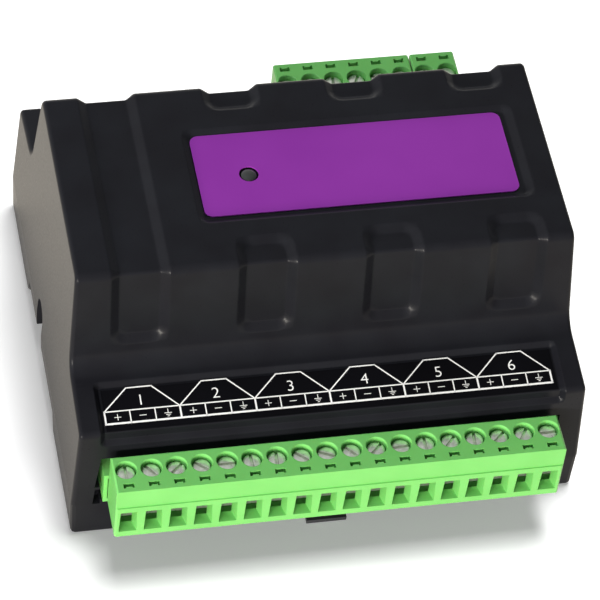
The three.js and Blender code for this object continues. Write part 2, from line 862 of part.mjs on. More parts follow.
// A four-sided funnel from the plug's face in to the wire hole
function funnel(side, x) {
  const height = funnelTop - funnelBottom;
  const geometry = new THREE.BoxGeometry(funnelWidth, funnelDepth, height);
  geometry.translate(x, plugFace - funnelDepth / 2, funnelTop - height / 2);
  const places = geometry.attributes.position;
  for (let i = 0; i < places.count; i += 1) {
    if (places.getY(i) < plugFace - funnelDepth / 2) {
      const narrow = (places.getX(i) - x) * wireHoleWidth / funnelWidth;
      const low = (funnelTop - places.getZ(i)) * wireHoleHeight / height;
      places.setX(i, x + narrow);
      places.setZ(i, funnelTop - low);
    }
  }
  return placedOnSide(solidOf(geometry), side);
}

// Takes a solid modelled in (x, breadth, z) to the front or the rear of the housing
function placedOnSide(solid, side) {
  return side > 0 ? solid : solid.mirror([0, 1, 0]);
}

function terminalPlug(side, left, poles) {
  const tongueBottom = boardTop + headerWall + seatGap;
  const tongueTop = boardTop + headerHeight - headerWall - seatGap;
  const x0 = left + plugSideGap;
  const x1 = left + poles * pitch - plugSideGap;
  const section = outline([
    [tongueReach, tongueBottom], [plugRear, tongueBottom], [plugRear, plugBottom],
    [plugFace, plugBottom], [plugFace, plugTop], [plugRear + plugEdge, plugTop],
    [plugRear, plugTop - plugEdge], [plugRear, tongueTop], [tongueReach, tongueTop],
  ]);
  const body = placedOnSide(solidOf(alongX(section, x0, x1)), side);
  const pinHeight = (tongueBottom + tongueTop) / 2;
  const cutters = [sideBlock(side, x0 + plugGrooveInset, x1 - plugGrooveInset,
    plugFace - plugGrooveDepth, plugFace + overrun, plugGrooveHeight,
    plugGrooveHeight + plugGrooveWidth)];
  for (const x of polePlaces(left, poles)) {
    const wellFloor = plugTop - wellDepth;
    cutters.push(
      cylinder(x, side * wellBreadth, wellFloor, plugTop + overrun, wellDiameter, wellSides),
      cylinder(x, side * wellBreadth, funnelTop - overrun, wellFloor + seatGap, shankBore, boreSides),
      sideBlock(side, x - probeLength / 2, x + probeLength / 2, probeBreadth - probeWidth / 2,
        probeBreadth + probeWidth / 2, plugTop - probeDepth, plugTop + overrun),
      funnel(side, x),
      sideBlock(side, x - funnelWidth / 2, x + funnelWidth / 2, plugFace, plugFace + overrun,
        funnelBottom, funnelTop),
      sideBlock(side, x - wireHoleWidth / 2, x + wireHoleWidth / 2, wireHoleBreadth,
        plugFace - funnelDepth + seatGap, funnelTop - wireHoleHeight, funnelTop),
      sideBlock(side, x - socketWidth / 2, x + socketWidth / 2, tongueReach - overrun,
        socketBreadth, pinHeight - socketWidth / 2, pinHeight + socketWidth / 2));
  }
  for (const x of [left, ...ribPlaces(left, poles), left + poles * pitch]) {
    const half = polariseWidth / 2 + seatGap;
    cutters.push(sideBlock(side, x - half, x + half, tongueReach - overrun, plugRear,
      tongueTop - polariseHeight, tongueTop + overrun));
  }
  return cut(body, cutters);
}

// Ribs between the poles, which keep a plug from going in upside down
function ribPlaces(left, poles) {
  return polePlaces(left, poles - 1).map((x) => x + pitch / 2);
}

function clampScrew(side, x, angle) {
  const top = plugTop - wellDepth + seatGap + screwHeadHeight;
  const r = screwHeadDiameter / 2;
  const shank = screwShankDiameter / 2;
  const head = solidOf(turned(0, 0, [
    [0, top - screwLength], [shank, top - screwLength], [shank, top - screwHeadHeight],
    [r, top - screwHeadHeight], [r, top], [0, top],
  ], screwSides));
  const slot = block(
    [-screwHeadDiameter, -screwSlotWidth / 2, top - screwSlotDepth],
    [screwHeadDiameter, screwSlotWidth / 2, top + overrun]);
  const geometry = geometryOf(head.subtract(slot));
  geometry.rotateZ(THREE.MathUtils.degToRad(angle));
  geometry.translate(x, side * wellBreadth, 0);
  return geometry;
}

function pinHeader(side, left, poles) {
  const half = poles * pitch / 2 + plugSideGap;
  const middle = left + poles * pitch / 2;
  const top = boardTop + headerHeight;
  const pinHeight = boardTop + headerHeight / 2;
  const shroud = sideBlock(side, middle - half - headerEnd, middle + half + headerEnd,
    headerBack, headerFace, boardTop, top)
    .subtract(sideBlock(side, middle - half, middle + half, headerBack + headerBackWall,
      headerFace + overrun, boardTop + headerWall, top - headerWall));
  const details = [];
  for (const x of polePlaces(left, poles)) {
    const p = pinThickness / 2;
    const tailAt = headerBack + headerBackWall / 2;
    details.push(
      sideBlock(side, x - p, x + p, tailAt - p, pinTip, pinHeight - p, pinHeight + p),
      sideBlock(side, x - p, x + p, tailAt - p, tailAt + p, boardBottom - pinTail, pinHeight));
  }
  for (const x of ribPlaces(left, poles)) {
    const p = polariseWidth / 2;
    details.push(sideBlock(side, x - p, x + p, headerBack + headerBackWall / 2,
      headerFace - headerEnd, top - headerWall - polariseHeight, top - headerWall / 2));
  }
  return joined([shroud, ...details]);
}

function mainBoard() {
  const plate = solidOf(alongZ(rectangle(boardLength, boardBreadth, boardRadius), boardBottom,
    boardTop));
  const tail = headerBack + headerBackWall / 2;
  const holes = [];
  const rows = [[-1, outputLeft, outputPoles], [1, inputLeft, inputPoles + powerPoles]];
  for (const [side, left, poles] of rows) {
    for (const x of polePlaces(left, poles)) {
      holes.push(cylinder(x, side * tail, boardBottom - overrun, boardTop + overrun,
        pinHoleDiameter, boreSides));
    }
  }
  for (const [x, y] of boardPosts()) {
    holes.push(cylinder(x, y, boardBottom - overrun, boardTop + overrun, boardHoleDiameter,
      holeSides));
  }
  return cut(plate, holes);
}

// A flat chip whose leads leave along its two long sides
function chip(x, y, length, width, height, leads) {
  const parts = [block(
    [x - width / 2, y - length / 2, boardTop + leadThickness],
    [x + width / 2, y + length / 2, boardTop + height])];
  for (let i = 0; i < leads; i += 1) {
    const middle = y + (i - (leads - 1) / 2) * leadPitch;
    parts.push(block(
      [x - width / 2 - leadReach, middle - leadWidth / 2, boardTop],
      [x + width / 2 + leadReach, middle + leadWidth / 2, boardTop + 2 * leadThickness]));
  }
  return joined(parts);
}

function converter(x, y) {
  return block(
    [x - converterLength / 2, y - converterWidth / 2, boardTop],
    [x + converterLength / 2, y + converterWidth / 2, boardTop + converterHeight]);
}

function capacitor(x, y) {
  const r = capacitorDiameter / 2;
  const neck = boardTop + capacitorBead;
  const top = boardTop + capacitorHeight;
  return solidOf(turned(x, y, [
    [0, boardTop], [r, boardTop], [r, neck], [r - capacitorNeck, neck + capacitorNeck],
    [r, neck + 2 * capacitorNeck], [r, top - capacitorNeck], [r - capacitorNeck, top], [0, top],
  ], canSides));
}

function inductor(x, y) {
  const h = inductorSize / 2;
  const c = h - inductorChamfer;
  const geometry = alongZ(outline([
    [-h, -c], [-c, -h], [c, -h], [h, -c], [h, c], [c, h], [-c, h], [-h, c],
  ]), boardTop, boardTop + inductorHeight);
  geometry.translate(x, y, 0);
  return solidOf(geometry);
}

function fuse(x, y) {
  const disc = new THREE.CylinderGeometry(fuseDiameter / 2, fuseDiameter / 2, fuseThickness, canSides);
  disc.translate(x, y, boardTop + fuseLift + fuseDiameter / 2);
  const legs = [-1, 1].map((end) => block(
    [x + end * fuseLegSpan / 2 - fuseLegWidth / 2, y - fuseLegWidth / 2, boardTop],
    [x + end * fuseLegSpan / 2 + fuseLegWidth / 2, y + fuseLegWidth / 2,
      boardTop + fuseLift + fuseDiameter / 2]));
  return joined([solidOf(disc), ...legs]);
}

function crystal(x, y) {
  const rim = alongZ(rectangle(crystalLength, crystalWidth, crystalWidth / 2), boardTop,
    boardTop + crystalRim);
  const can = alongZ(
    rectangle(crystalLength - 2 * crystalRim, crystalWidth - 2 * crystalRim,
      crystalWidth / 2 - crystalRim),
    boardTop + crystalRim / 2, boardTop + crystalHeight);
  rim.translate(x, y, 0);
  can.translate(x, y, 0);
  return solidOf(rim).add(solidOf(can));
}

function boardScrew(x, y) {
  const head = boardScrewHead / 2;
  const shank = boardScrewShank / 2;
  const top = boardTop + boardScrewHeadHeight;
  const solid = solidOf(turned(x, y, [
    [0, boardTop - boardScrewLength], [shank, boardTop - boardScrewLength], [shank, boardTop],
    [head, boardTop], [head, top - boardScrewChamfer], [head - boardScrewChamfer, top], [0, top],
  ], boardScrewSides));
  const arm = screwSlotWidth / 2;
  const half = boardScrewSocket;
  return cut(solid, [
    block([x - half, y - arm, top - screwSlotDepth], [x + half, y + arm, top + overrun]),
    block([x - arm, y - half, top - screwSlotDepth], [x + arm, y + half, top + overrun]),
  ]);
}

function finish(color, roughness, metalness = 0) {
  return new THREE.MeshStandardMaterial({ color, roughness, metalness });
}

const blackPlastic = ['#26272b', 0.62];
const terminalGreen = ['#55c23f', 0.45];
const plated = ['#b9bab3', 0.35, 1];
const moulding = ['#1c1d20', 0.5];

const splitter = new THREE.Group();

function place(name, shape, look) {
  const geometry = shape.isBufferGeometry ? shape : geometryOf(shape);
  const piece = new THREE.Mesh(geometry, finish(...look));
  piece.name = name;
  splitter.add(piece);
}

place('housing_base', housingBase(), blackPlastic);
place('housing_cover', housingCover(), blackPlastic);
place('rail_latch', railLatch(), ['#3a3b3e', 0.5]);
place('latch_spring', latchSpring(), plated);
place('label_overlay', labelOverlay(), ['#8e35a0', 0.4]);
place('legend_strip', legendStrip(), ['#141416', 0.45]);
place('light_pipe', lightPipe(), ['#4a4f4c', 0.15]);
place('main_board', mainBoard(), ['#1d5c3a', 0.5]);
place('output_header', pinHeader(-1, outputLeft, outputPoles), terminalGreen);
place('input_header', pinHeader(1, inputLeft, inputPoles + powerPoles), terminalGreen);
place('output_plug', terminalPlug(-1, outputLeft, outputPoles), terminalGreen);
place('input_plug', terminalPlug(1, inputLeft, inputPoles), terminalGreen);
place('power_plug', terminalPlug(1, powerLeft, powerPoles), terminalGreen);

const slotAngle = (angles, i) => angles[i % angles.length];
polePlaces(outputLeft, outputPoles).forEach((x, i) => {
  const number = String(i + 1).padStart(2, '0');
  place(`output_screw_${number}`, clampScrew(-1, x, slotAngle(outputSlotAngles, i)), plated);
});
polePlaces(inputLeft, inputPoles).forEach((x, i) => {
  place(`input_screw_${i + 1}`, clampScrew(1, x, slotAngle(inputSlotAngles, i)), plated);
});
polePlaces(powerLeft, powerPoles).forEach((x, i) => {
  place(`power_screw_${i + 1}`, clampScrew(1, x, slotAngle(powerSlotAngles, i)), plated);
});

place('status_led', statusLed(), ['#d8e6d0', 0.2]);
const driverY = headerBack - driverSetback;
for (let i = 0; i < outputs; i += 1) {
  const x = outputLeft + (i + 0.5) * polesPerOutput * pitch;
  place(`line_driver_${i + 1}`,
    chip(x, -driverY, driverLength, driverWidth, driverHeight, driverLeadCount), moulding);
}
const receiverX = inputLeft + inputPoles * pitch / 2;
place('input_receiver',
  chip(receiverX, driverY, driverLength, driverWidth, driverHeight, driverLeadCount), moulding);
const onGrid = ([across, back]) => [powerLeft + across * pitch, back * pitch];
place('microcontroller', chip(...onGrid(controllerShares), controllerLength, controllerWidth,
  controllerHeight, controllerLeadCount), moulding);
place('crystal', crystal(...onGrid(crystalShares)), plated);
place('dcdc_converter', converter(...onGrid(converterShares)), moulding);
place('power_inductor', inductor(...onGrid(inductorShares)), ['#33302d', 0.7]);
capacitorShares.forEach((shares, i) => {
  place(`bulk_capacitor_${i + 1}`, capacitor(...onGrid(shares)), ['#2b3348', 0.4]);
});
place('resettable_fuse', fuse(...onGrid(fuseShares)), ['#c98a2b', 0.6]);
boardPosts().forEach(([x, y], i) => {
  place(`board_screw_${i + 1}`, boardScrew(x, y), plated);
});

export default splitter;
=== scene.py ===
"""A rail-mounted splitter for stage lighting data, dressed and lit as for a catalogue picture.

X runs along the rail, the long row of outputs faces -Y, and Z points away from the rail. Sizes and
the camera's place are named in millimetres, and are turned to metres where they are used. The
lamps and the floor are in metres, and angles are in degrees.
"""

import json
import math

import bmesh
import bpy
from mathutils import Matrix, Vector


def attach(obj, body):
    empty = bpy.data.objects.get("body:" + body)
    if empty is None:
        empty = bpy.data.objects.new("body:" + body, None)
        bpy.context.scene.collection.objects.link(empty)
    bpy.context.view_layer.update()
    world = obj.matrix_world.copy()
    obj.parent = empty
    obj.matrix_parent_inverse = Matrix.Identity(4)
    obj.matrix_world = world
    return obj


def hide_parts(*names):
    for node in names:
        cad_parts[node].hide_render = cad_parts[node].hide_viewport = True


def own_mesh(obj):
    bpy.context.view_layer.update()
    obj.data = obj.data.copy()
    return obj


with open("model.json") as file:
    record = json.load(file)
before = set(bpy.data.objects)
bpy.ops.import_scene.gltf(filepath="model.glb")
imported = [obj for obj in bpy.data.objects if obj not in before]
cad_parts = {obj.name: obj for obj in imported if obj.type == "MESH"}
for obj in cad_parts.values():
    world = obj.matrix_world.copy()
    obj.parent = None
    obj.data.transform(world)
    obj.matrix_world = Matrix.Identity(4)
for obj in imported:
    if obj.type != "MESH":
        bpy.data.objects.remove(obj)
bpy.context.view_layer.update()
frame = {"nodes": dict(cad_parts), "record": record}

MM = 0.001

# Modelling: how far a cutter runs past what it cuts, how square to an axis and how near to a place
# a picked face is, and how close points are merged
OVERRUN = 1.0
SQUARE = 0.9
NEAR = 0.1
WELD = 0.001
SPIN_WELD = 0.0005

# Housing: its section runs over two shelves and a nose, as (breadth, height)
HALF_LENGTH = 52.91
HALF_DEPTH = 45.0
PARTING = 10.0
TOP = 56.6
WALL = 2.0
SHOULDER = (44.2, 31.8)
NOSE_FOOT = (28.1, 33.9)
NOSE_TOP = (24.1, 56.6)
END_INSET = 2.24
END_EDGE = 0.9
END_STEPS = 5
END_BLEND = 47.9
SECTION_RADII = (0.0, 1.3, 4.4, 2.0, 2.0, 4.4, 1.3, 0.0)
ARC_STEPS = 8
CORE_FOOT = 7.0

# Finger grooves and recesses, each with its depth, the breadth of its soft wall and its corner
GROOVE_MIDDLES = (-37.6, -12.05, 13.7, 39.2)
GROOVE = {"width": 12.3, "depth": 1.2, "slope": 2.3, "corner": 3.6}
GROOVE_FOOT = 38.3
GROOVE_TOP = 16.6
LABEL_RECESS = {"x": 10.575, "width": 69.55, "depth": 1.0, "slope": 2.0, "corner": 2.6}
LABEL_RECESS_Y = (-13.15, 12.55)
LEGEND_RECESS = {"x": 0.0, "width": 95.4, "depth": 1.0, "slope": 1.2, "corner": 1.4}
LEGEND_FOOT = 27.9
LEGEND_BREADTH = 32.2

# A soft wall's fillets as a share of its breadth, and the grid lines over it and beside it
WALL_FILLET = 0.22
WALL_LINES = (0.0, 0.07, 0.14, 0.22, 0.5, 0.78, 0.86, 0.93, 1.0)
LINE_BEFORE = 0.2
LINES_BEHIND = (0.4, 1.4)
CORNER_LINES = 3
LINE_GAP = 0.05

# Openings of the cover
ARCH_WIDTH = 6.4
ARCH_TOP = 16.4
ARCH_Y = 2.8
ARCH_SIDES = 40
OPENING_TOP = 24.2
OPENING_FOOT = 11.3
OPENING_FRONT = (-47.22, 47.22)
OPENING_REAR = (3.58, 47.22)
OPENING_INNER = 38.7
GAP_FOOT = 15.2
GAP_WIDTH = 0.2
GAP_LEAN = 1.1
SLOT_X = (-48.2, -47.05)
SLOT_TOP = 14.5
SLOT_LEAN = 0.5

# Light pipe: its middle, its hole, the collar that holds it, and its own flange and dome
LIGHT = (-11.9, -0.3)
LIGHT_HOLE = 3.8
LIGHT_HOLE_FOOT = 40.0
LIGHT_SIDES = 48
COLLAR_FOOT = 45.6
COLLAR_DIAMETER = 6.2
COLLAR_OVERLAP = 0.3
PIPE_FOOT = 16.5
PIPE_RADIUS = 1.7
FLANGE_RADIUS = 2.7
FLANGE_HEIGHT = 1.2
FLANGE_GAP = 0.3
PIPE_EDGE = 0.1
DOME_HEIGHT = 0.45
DOME_STEPS = 7

# Film with the status light
FILM_X = (-22.45, 42.4)
FILM_Y = (-10.7, 10.9)
FILM_CORNER = 1.8
FILM_CORNER_STEPS = 8
FILM_FOOT = 55.65
FILM_THICKNESS = 0.25
GLUE = 0.05
FILM_EDGE = 0.22
FILM_HOLE_GAP = 0.2
FILM_FACE_AREA = 50.0

# Print of the terminal legend: breadths of its rows from the middle, places in a cell, and strokes
LEGEND_ROWS = (41.6, 38.8, 33.7)
LEGEND_SHIFT = 0.4
INK = 0.02
FOOT_STROKE = 0.42
FAN_STROKE = 0.26
GROUP_STROKE = 0.36
CELL_STROKE = 0.24
PLUS = {"half": 0.62, "stroke": 0.14}
MINUS = {"half": 0.65, "stroke": 0.15}
EARTH = {"stem": 0.85, "bars": (0.7, 0.42, 0.14), "step": 0.38, "stroke": 0.13}
NUMBER = {"size": 3.5, "thinned": -0.035, "lift": 0.95}

# Terminals
POLES_PER_OUTPUT = 3
PITCH = 5.08
OUTPUT_LEFT = -45.72
INPUT_LEFT = 5.08
POWER_LEFT = 35.56
PLUG_GAP = 0.15
OUTPUT_PLUG_GAP = -0.1
PLUG_FOOT = 12.6
PLUG_TOP = 27.0
PLUG_REAR = 46.3
PLUG_FACE = 55.5
PLUG_EDGE = 0.35
PLUG_ROUND = 0.1
FACE_LEDGE = 21.75
LEDGE_DEPTH = 0.28
TONGUE_REACH = 38.9
TONGUE = (12.9, 18.9)
TONGUE_ROUND = 0.2
SOCKET = {"half": 1.0, "y": (TONGUE_REACH - OVERRUN, 46.0), "z": (14.9, 16.9)}

# One pole of a plug, from the screw's well down to the wire's funnel and the test probe's slot
WELL_BREADTH = 49.8
WELL_RADIUS = 2.1
WELL_FLOOR = 23.3
WELL_RIM = {"radius": 2.28, "under": 0.14, "over": 0.04}
WELL_SIDES = 44
HOLE_OVERLAP = 0.2
BORE_OVERLAP = 0.3
SHANK_BORE = 3.0
SHANK_FOOT = 21.8
SHANK_SIDES = 32
WIRE_WIDTH = 2.3
WIRE_HOLE = (14.4, 20.25)
FUNNEL_WIDTH = 3.7
FUNNEL = (14.2, 20.35)
FUNNEL_DEPTH = 2.3
CAGE_ROOM = {"half": 1.95, "y": (47.5, PLUG_FACE - FUNNEL_DEPTH), "z": (13.9, 22.6)}
FUNNEL_HEAD = 0.88
PROBE_BREADTH = 53.7
PROBE = {"half": 1.1, "reach": 0.575, "depth": 2.0}
PROBE_TONGUE = {"half": 0.62, "setback": 0.27, "depth": 3.0}

# Clamp cage, with its window and its tapped hole
CAGE = {"half": 1.85, "y": (47.7, 51.6), "z": (14.1, 22.5)}
CAGE_WINDOW = {"half": 1.3, "y": (47.0, 54.0), "z": (14.7, 21.2)}
CAGE_BORE = {"diameter": 2.6, "z": (20.0, 25.0)}
CAGE_ROUND = 0.12
CAGE_SIDES = 28

# Clamp screw: a thread of plain rings, and the head's profile under and up to its top, as
# (radius, height)
SCREW_TOP = 25.8
SCREW_LENGTH = 4.4
HEAD_HEIGHT = 2.2
TIP_RADIUS = 0.95
THREAD_START = 0.1
THREAD_PITCH = 0.42
THREAD_RINGS = 5
THREAD = ((0.98, 0.0), (1.2, 0.14), (1.2, 0.2), (0.98, 0.36))
HEAD_FOOT = ((1.2, -0.05), (1.72, 0.0), (1.85, 0.13))
HEAD_CROWN = ((1.85, -0.24), (1.78, -0.08), (1.62, 0.0), (0, 0.0))
SCREW_SLOT = (4.4, 0.62, 1.6)
SCREW_ROUND = 0.05
SCREW_SIDES = 36

# Angles of the screws' slots, in degrees, one for each pole
OUTPUT_SLOTS = (90, 128, 42, 140, 0, 92, 86, 138, 155, 132, 45, 4, 90, 50, 86, 44, 60, 2)
INPUT_SLOTS = (30, 110, 84, 66, 140, 12)
POWER_SLOTS = (75, 128)

# Lamps: place, size, watts, tint, and what they light. The floor has a lamp of its own, so that
# its shadow is soft and the others don't grey it.
LAMPS = (
    ("key", (-0.55, -1.95, 0.45), (0.9, 0.5), 41.0, "#fffaf2", "object"),
    ("side", (-1.25, -1.5, 0.4), (0.28, 0.28), 36.0, "#fff8ec", "object"),
    ("top", (-0.45, -0.05, 0.5), (0.7, 0.7), 4.9, "#f6f9ff", "object"),
    ("rear", (1.0, 1.6, 0.5), (0.8, 0.5), 22.0, "#ffffff", "object"),
    ("floor", (0.1, 0.1, 1.0), (0.36, 0.36), 12.5, "#ffffff", "floor"))
MIRRORED_LAMP = "side"

# Floor: its size, and its glow near the object and from the far distance on
FLOOR_SIZE = 6
FLOOR_DISTANCES = (0.2, 0.7)
FLOOR_GLOW = (0.3, 1.0)

# Air: its strength for diffuse rays, and how gloss sees the ceiling and the right wing darken
AIR_STRENGTH = 0.15
WING_X = (-0.1, 0.6)
WING_DIM = 0.4
CEILING_Z = (0.35, 0.8)
CEILING_DIM = 0.7

# Camera: azimuth, elevation and roll, and the way to it from a point of the object in its own axes
CAMERA_ANGLES = (-16.098, 50.169, 7.367)
CAMERA_AIM = (0, 0, 25)
CAMERA_WAY = (1.25, -7.09, 762.3)
CAMERA_LENS = 218.93
CAMERA_SENSOR = 36
CAMERA_CLIP = 10


# ---- modelling ----


def alone(obj):
    """Makes obj the only selected object and the active one."""
    bpy.ops.object.select_all(action="DESELECT")
    obj.select_set(True)
    bpy.context.view_layer.objects.active = obj
    return obj


def settled(obj):
    """Puts an object's place, turn and scale into its mesh."""
    alone(obj)
    bpy.ops.object.transform_apply(location=True, rotation=True, scale=True)
    return obj


def block(low, high):
    """A cube primitive between two corners, in millimetres."""
    low, high = Vector(low) * MM, Vector(high) * MM
    bpy.ops.mesh.primitive_cube_add(size=1, location=(low + high) / 2, scale=high - low)
    return settled(bpy.context.active_object)


def rod(x, y, z0, z1, diameter, sides=40):
    """An upright cylinder primitive."""
    bpy.ops.mesh.primitive_cylinder_add(
        vertices=sides, radius=diameter / 2 * MM, depth=(z1 - z0) * MM,
        location=(x * MM, y * MM, (z0 + z1) / 2 * MM))
    return settled(bpy.context.active_object)


def pick(obj, faces=None, edges=None):
    """In edit mode, selects faces by their middle and normal, or edges by their two ends."""
    bpy.ops.mesh.select_mode(type="FACE" if faces else "EDGE")
    bpy.ops.mesh.select_all(action="DESELECT")
    mesh = bmesh.from_edit_mesh(obj.data)
    if faces:
        for face in mesh.faces:
            face.select_set(bool(faces(face.calc_center_median() / MM, face.normal)))
    if edges:
        for edge in mesh.edges:
            edge.select_set(bool(edges(edge.verts[0].co / MM, edge.verts[1].co / MM)))
    bmesh.update_edit_mesh(obj.data)


def modified(obj, kind, **settings):
    """Adds a modifier with its settings and applies it."""
    alone(obj)
    modifier = obj.modifiers.new(kind.title(), kind)
    for name, value in settings.items():
        setattr(modifier, name, value)
    bpy.ops.object.modifier_apply(modifier=modifier.name)
    return obj


def cut(obj, *cutters):
    """Takes the cutters' room out of a body."""
    for cutter in cutters:
        modified(obj, "BOOLEAN", operation="DIFFERENCE", object=cutter, solver="EXACT")
        bpy.data.objects.remove(cutter)
    return obj


def fused(obj, other):
    """Makes two bodies that overlap one."""
    modified(obj, "BOOLEAN", operation="UNION", object=other, solver="EXACT")
    bpy.data.objects.remove(other)
    return obj


def together(pieces):
    """Joins meshes that don't touch into one object."""
    alone(pieces[0])
    for piece in pieces:
        piece.select_set(True)
    bpy.ops.object.join()
    return bpy.context.active_object


def welded(obj):
    """Merges points that lie on each other."""
    alone(obj)
    bpy.ops.object.mode_set(mode="EDIT")
    bpy.ops.mesh.select_all(action="SELECT")
    bpy.ops.mesh.remove_doubles(threshold=WELD * MM)
    bpy.ops.object.mode_set(mode="OBJECT")
    return obj


def repeated(obj, places):
    """Copies of obj moved to each place, joined into one object."""
    copies = []
    for place in places:
        copy = obj.copy()
        copy.data = obj.data.copy()
        copy.data.transform(Matrix.Translation(Vector(place) * MM))
        bpy.context.scene.collection.objects.link(copy)
        copies.append(copy)
    bpy.data.objects.remove(obj)
    return together(copies)


def half_turn(obj):
    """Turns a piece made for the rear round to the front."""
    obj.data.transform(Matrix.Rotation(math.pi, 4, "Z"))
    return obj


def smooth(obj, angle=35):
    """Smooth shading, with the edges sharper than an angle kept hard."""
    alone(obj)
    bpy.ops.object.shade_smooth_by_angle(angle=math.radians(angle))
    return obj


def softened(obj, width, segments=2, angle=40):
    """Rounds the sharp edges as a mould does."""
    return modified(
        obj, "BEVEL", width=width * MM, segments=segments, limit_method="ANGLE",
        angle_limit=math.radians(angle), use_clamp_overlap=True, harden_normals=False)


def weighted(obj):
    """Keeps wide flat faces flat in the light, next to narrow rounded ones."""
    return modified(obj, "WEIGHTED_NORMAL", mode="FACE_AREA", weight=100, keep_sharp=True)


def turned(profile, x=0.0, y=0.0, steps=40):
    """Spins a profile of [radius, z] corners, from axis to axis, about an upright axis."""
    bpy.ops.mesh.primitive_plane_add(size=1)
    obj = bpy.context.active_object
    mesh = bmesh.new()
    points = [mesh.verts.new((radius * MM, 0, z * MM)) for radius, z in profile]
    for first, second in zip(points, points[1:]):
        mesh.edges.new((first, second))
    mesh.to_mesh(obj.data)
    mesh.free()
    alone(obj)
    bpy.ops.object.mode_set(mode="EDIT")
    bpy.ops.mesh.select_all(action="SELECT")
    bpy.ops.mesh.spin(steps=steps, angle=2 * math.pi, center=(0, 0, 0), axis=(0, 0, 1))
    bpy.ops.mesh.select_all(action="SELECT")
    bpy.ops.mesh.remove_doubles(threshold=SPIN_WELD * MM)
    bpy.ops.mesh.normals_make_consistent(inside=False)
    bpy.ops.object.mode_set(mode="OBJECT")
    obj.data.transform(Matrix.Translation((x * MM, y * MM, 0)))
    return obj


def named(obj, name, body, looks, *nodes):
    """Names a finished piece, gives it its materials and lets it ride, in place of CAD nodes."""
    obj.name = name
    obj.data.name = name
    obj.data.materials.clear()
    for look in looks:
        obj.data.materials.append(look)
    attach(obj, body)
    if nodes:
        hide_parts(*nodes)


# ---- materials ----

# Sizes of the patterns: flow marks of a moulding, mottle of a zinc bath, waves of a coated film,
# clouds of printed ink, cast acrylic's haze, and the weave and tracks of a circuit board
FLOW_MARK = 9.0
MOTTLE = 0.8
FILM_WAVE = 1.4
INK_CLOUD = 22.0
HAZE = 1.2
WEAVE = 0.6
TRACK_LENGTH = 4 * 2.54
# This many make rings about a millimetre apart: a cutter's real marks would vanish in the picture
RING_SCALE = 320.0


def linear(code):
    """An sRGB hex value as a linear colour."""
    parts = [int(code[i:i + 2], 16) / 255 for i in (1, 3, 5)]
    return [p / 12.92 if p <= 0.04045 else ((p + 0.055) / 1.055) ** 2.4 for p in parts] + [1]


def add(tree, kind, inputs=None, **settings):
    """Adds a node with its settings, values and links."""
    node = tree.nodes.new(kind)
    for name, value in settings.items():
        setattr(node, name, value)
    for name, value in (inputs or {}).items():
        socket = node.inputs[name]
        if isinstance(value, bpy.types.NodeSocket):
            tree.links.new(value, socket)
        else:
            socket.default_value = value
    return node


def math_of(tree, operation, first, second=0.0):
    """What a sum of two values or sockets gives."""
    return add(tree, "ShaderNodeMath", {0: first, 1: second}, operation=operation).outputs[0]


def graded(tree, value, span, results):
    """A value turned evenly from one span to another, and held at its ends."""
    return add(tree, "ShaderNodeMapRange", {
        "Value": value, "From Min": span[0], "From Max": span[1],
        "To Min": results[0], "To Max": results[1]}).outputs[0]


def seen_directly(tree, rays):
    """Whether the camera, a reflection or a clear body looks at a surface."""
    either = math_of(tree, "MAXIMUM", rays["Is Camera Ray"], rays["Is Glossy Ray"])
    return math_of(tree, "MAXIMUM", either, rays["Is Transmission Ray"])


def material(name, **values):
    """A new material: its tree, its shader and its Object coordinates."""
    made = bpy.data.materials.new(name)
    made.use_nodes = True
    tree = made.node_tree
    shader = tree.nodes["Principled BSDF"]
    for key, value in values.items():
        shader.inputs[key.replace("_", " ")].default_value = value
    place = add(tree, "ShaderNodeTexCoord").outputs["Object"]
    return made, tree, shader, place


def grains(tree, place, size, detail=2.0, roughness=0.5):
    """Noise whose lumps are size millimetres across."""
    return add(tree, "ShaderNodeTexNoise", {
        "Vector": place, "Scale": 1 / (size * MM), "Detail": detail, "Roughness": roughness,
    }).outputs["Fac"]


def ramp(tree, factor, *stops):
    """A colour ramp from (position, hex) or (position, value) stops."""
    node = add(tree, "ShaderNodeValToRGB", {"Fac": factor})
    band = node.color_ramp
    while len(band.elements) < len(stops):
        band.elements.new(0.5)
    for element, (position, value) in zip(band.elements, stops):
        element.position = position
        element.color = linear(value) if isinstance(value, str) else (value, value, value, 1)
    return node.outputs["Color"]


def bumped(tree, shader, height, depth, strength=1.0):
    """Bump whose full height is depth millimetres."""
    bump = add(tree, "ShaderNodeBump", {
        "Height": height, "Strength": strength, "Distance": depth * MM})
    tree.links.new(bump.outputs["Normal"], shader.inputs["Normal"])


def moulded(name, dark, pale, roughness, grain, depth, **values):
    """Moulded plastic: an even colour with slight flow marks, and the mould's fine spark grain."""
    made, tree, shader, place = material(name, **values)
    flow = grains(tree, place, FLOW_MARK)
    tree.links.new(ramp(tree, flow, (0.3, dark), (0.7, pale)), shader.inputs["Base Color"])
    # A grain of 0.05 mm would vanish in the picture, so it is drawn at the size given
    fine = grains(tree, place, grain, 3.0, 0.6)
    low, high = roughness
    tree.links.new(ramp(tree, fine, (0.3, low), (0.7, high)), shader.inputs["Roughness"])
    bumped(tree, shader, fine, depth)
    return made


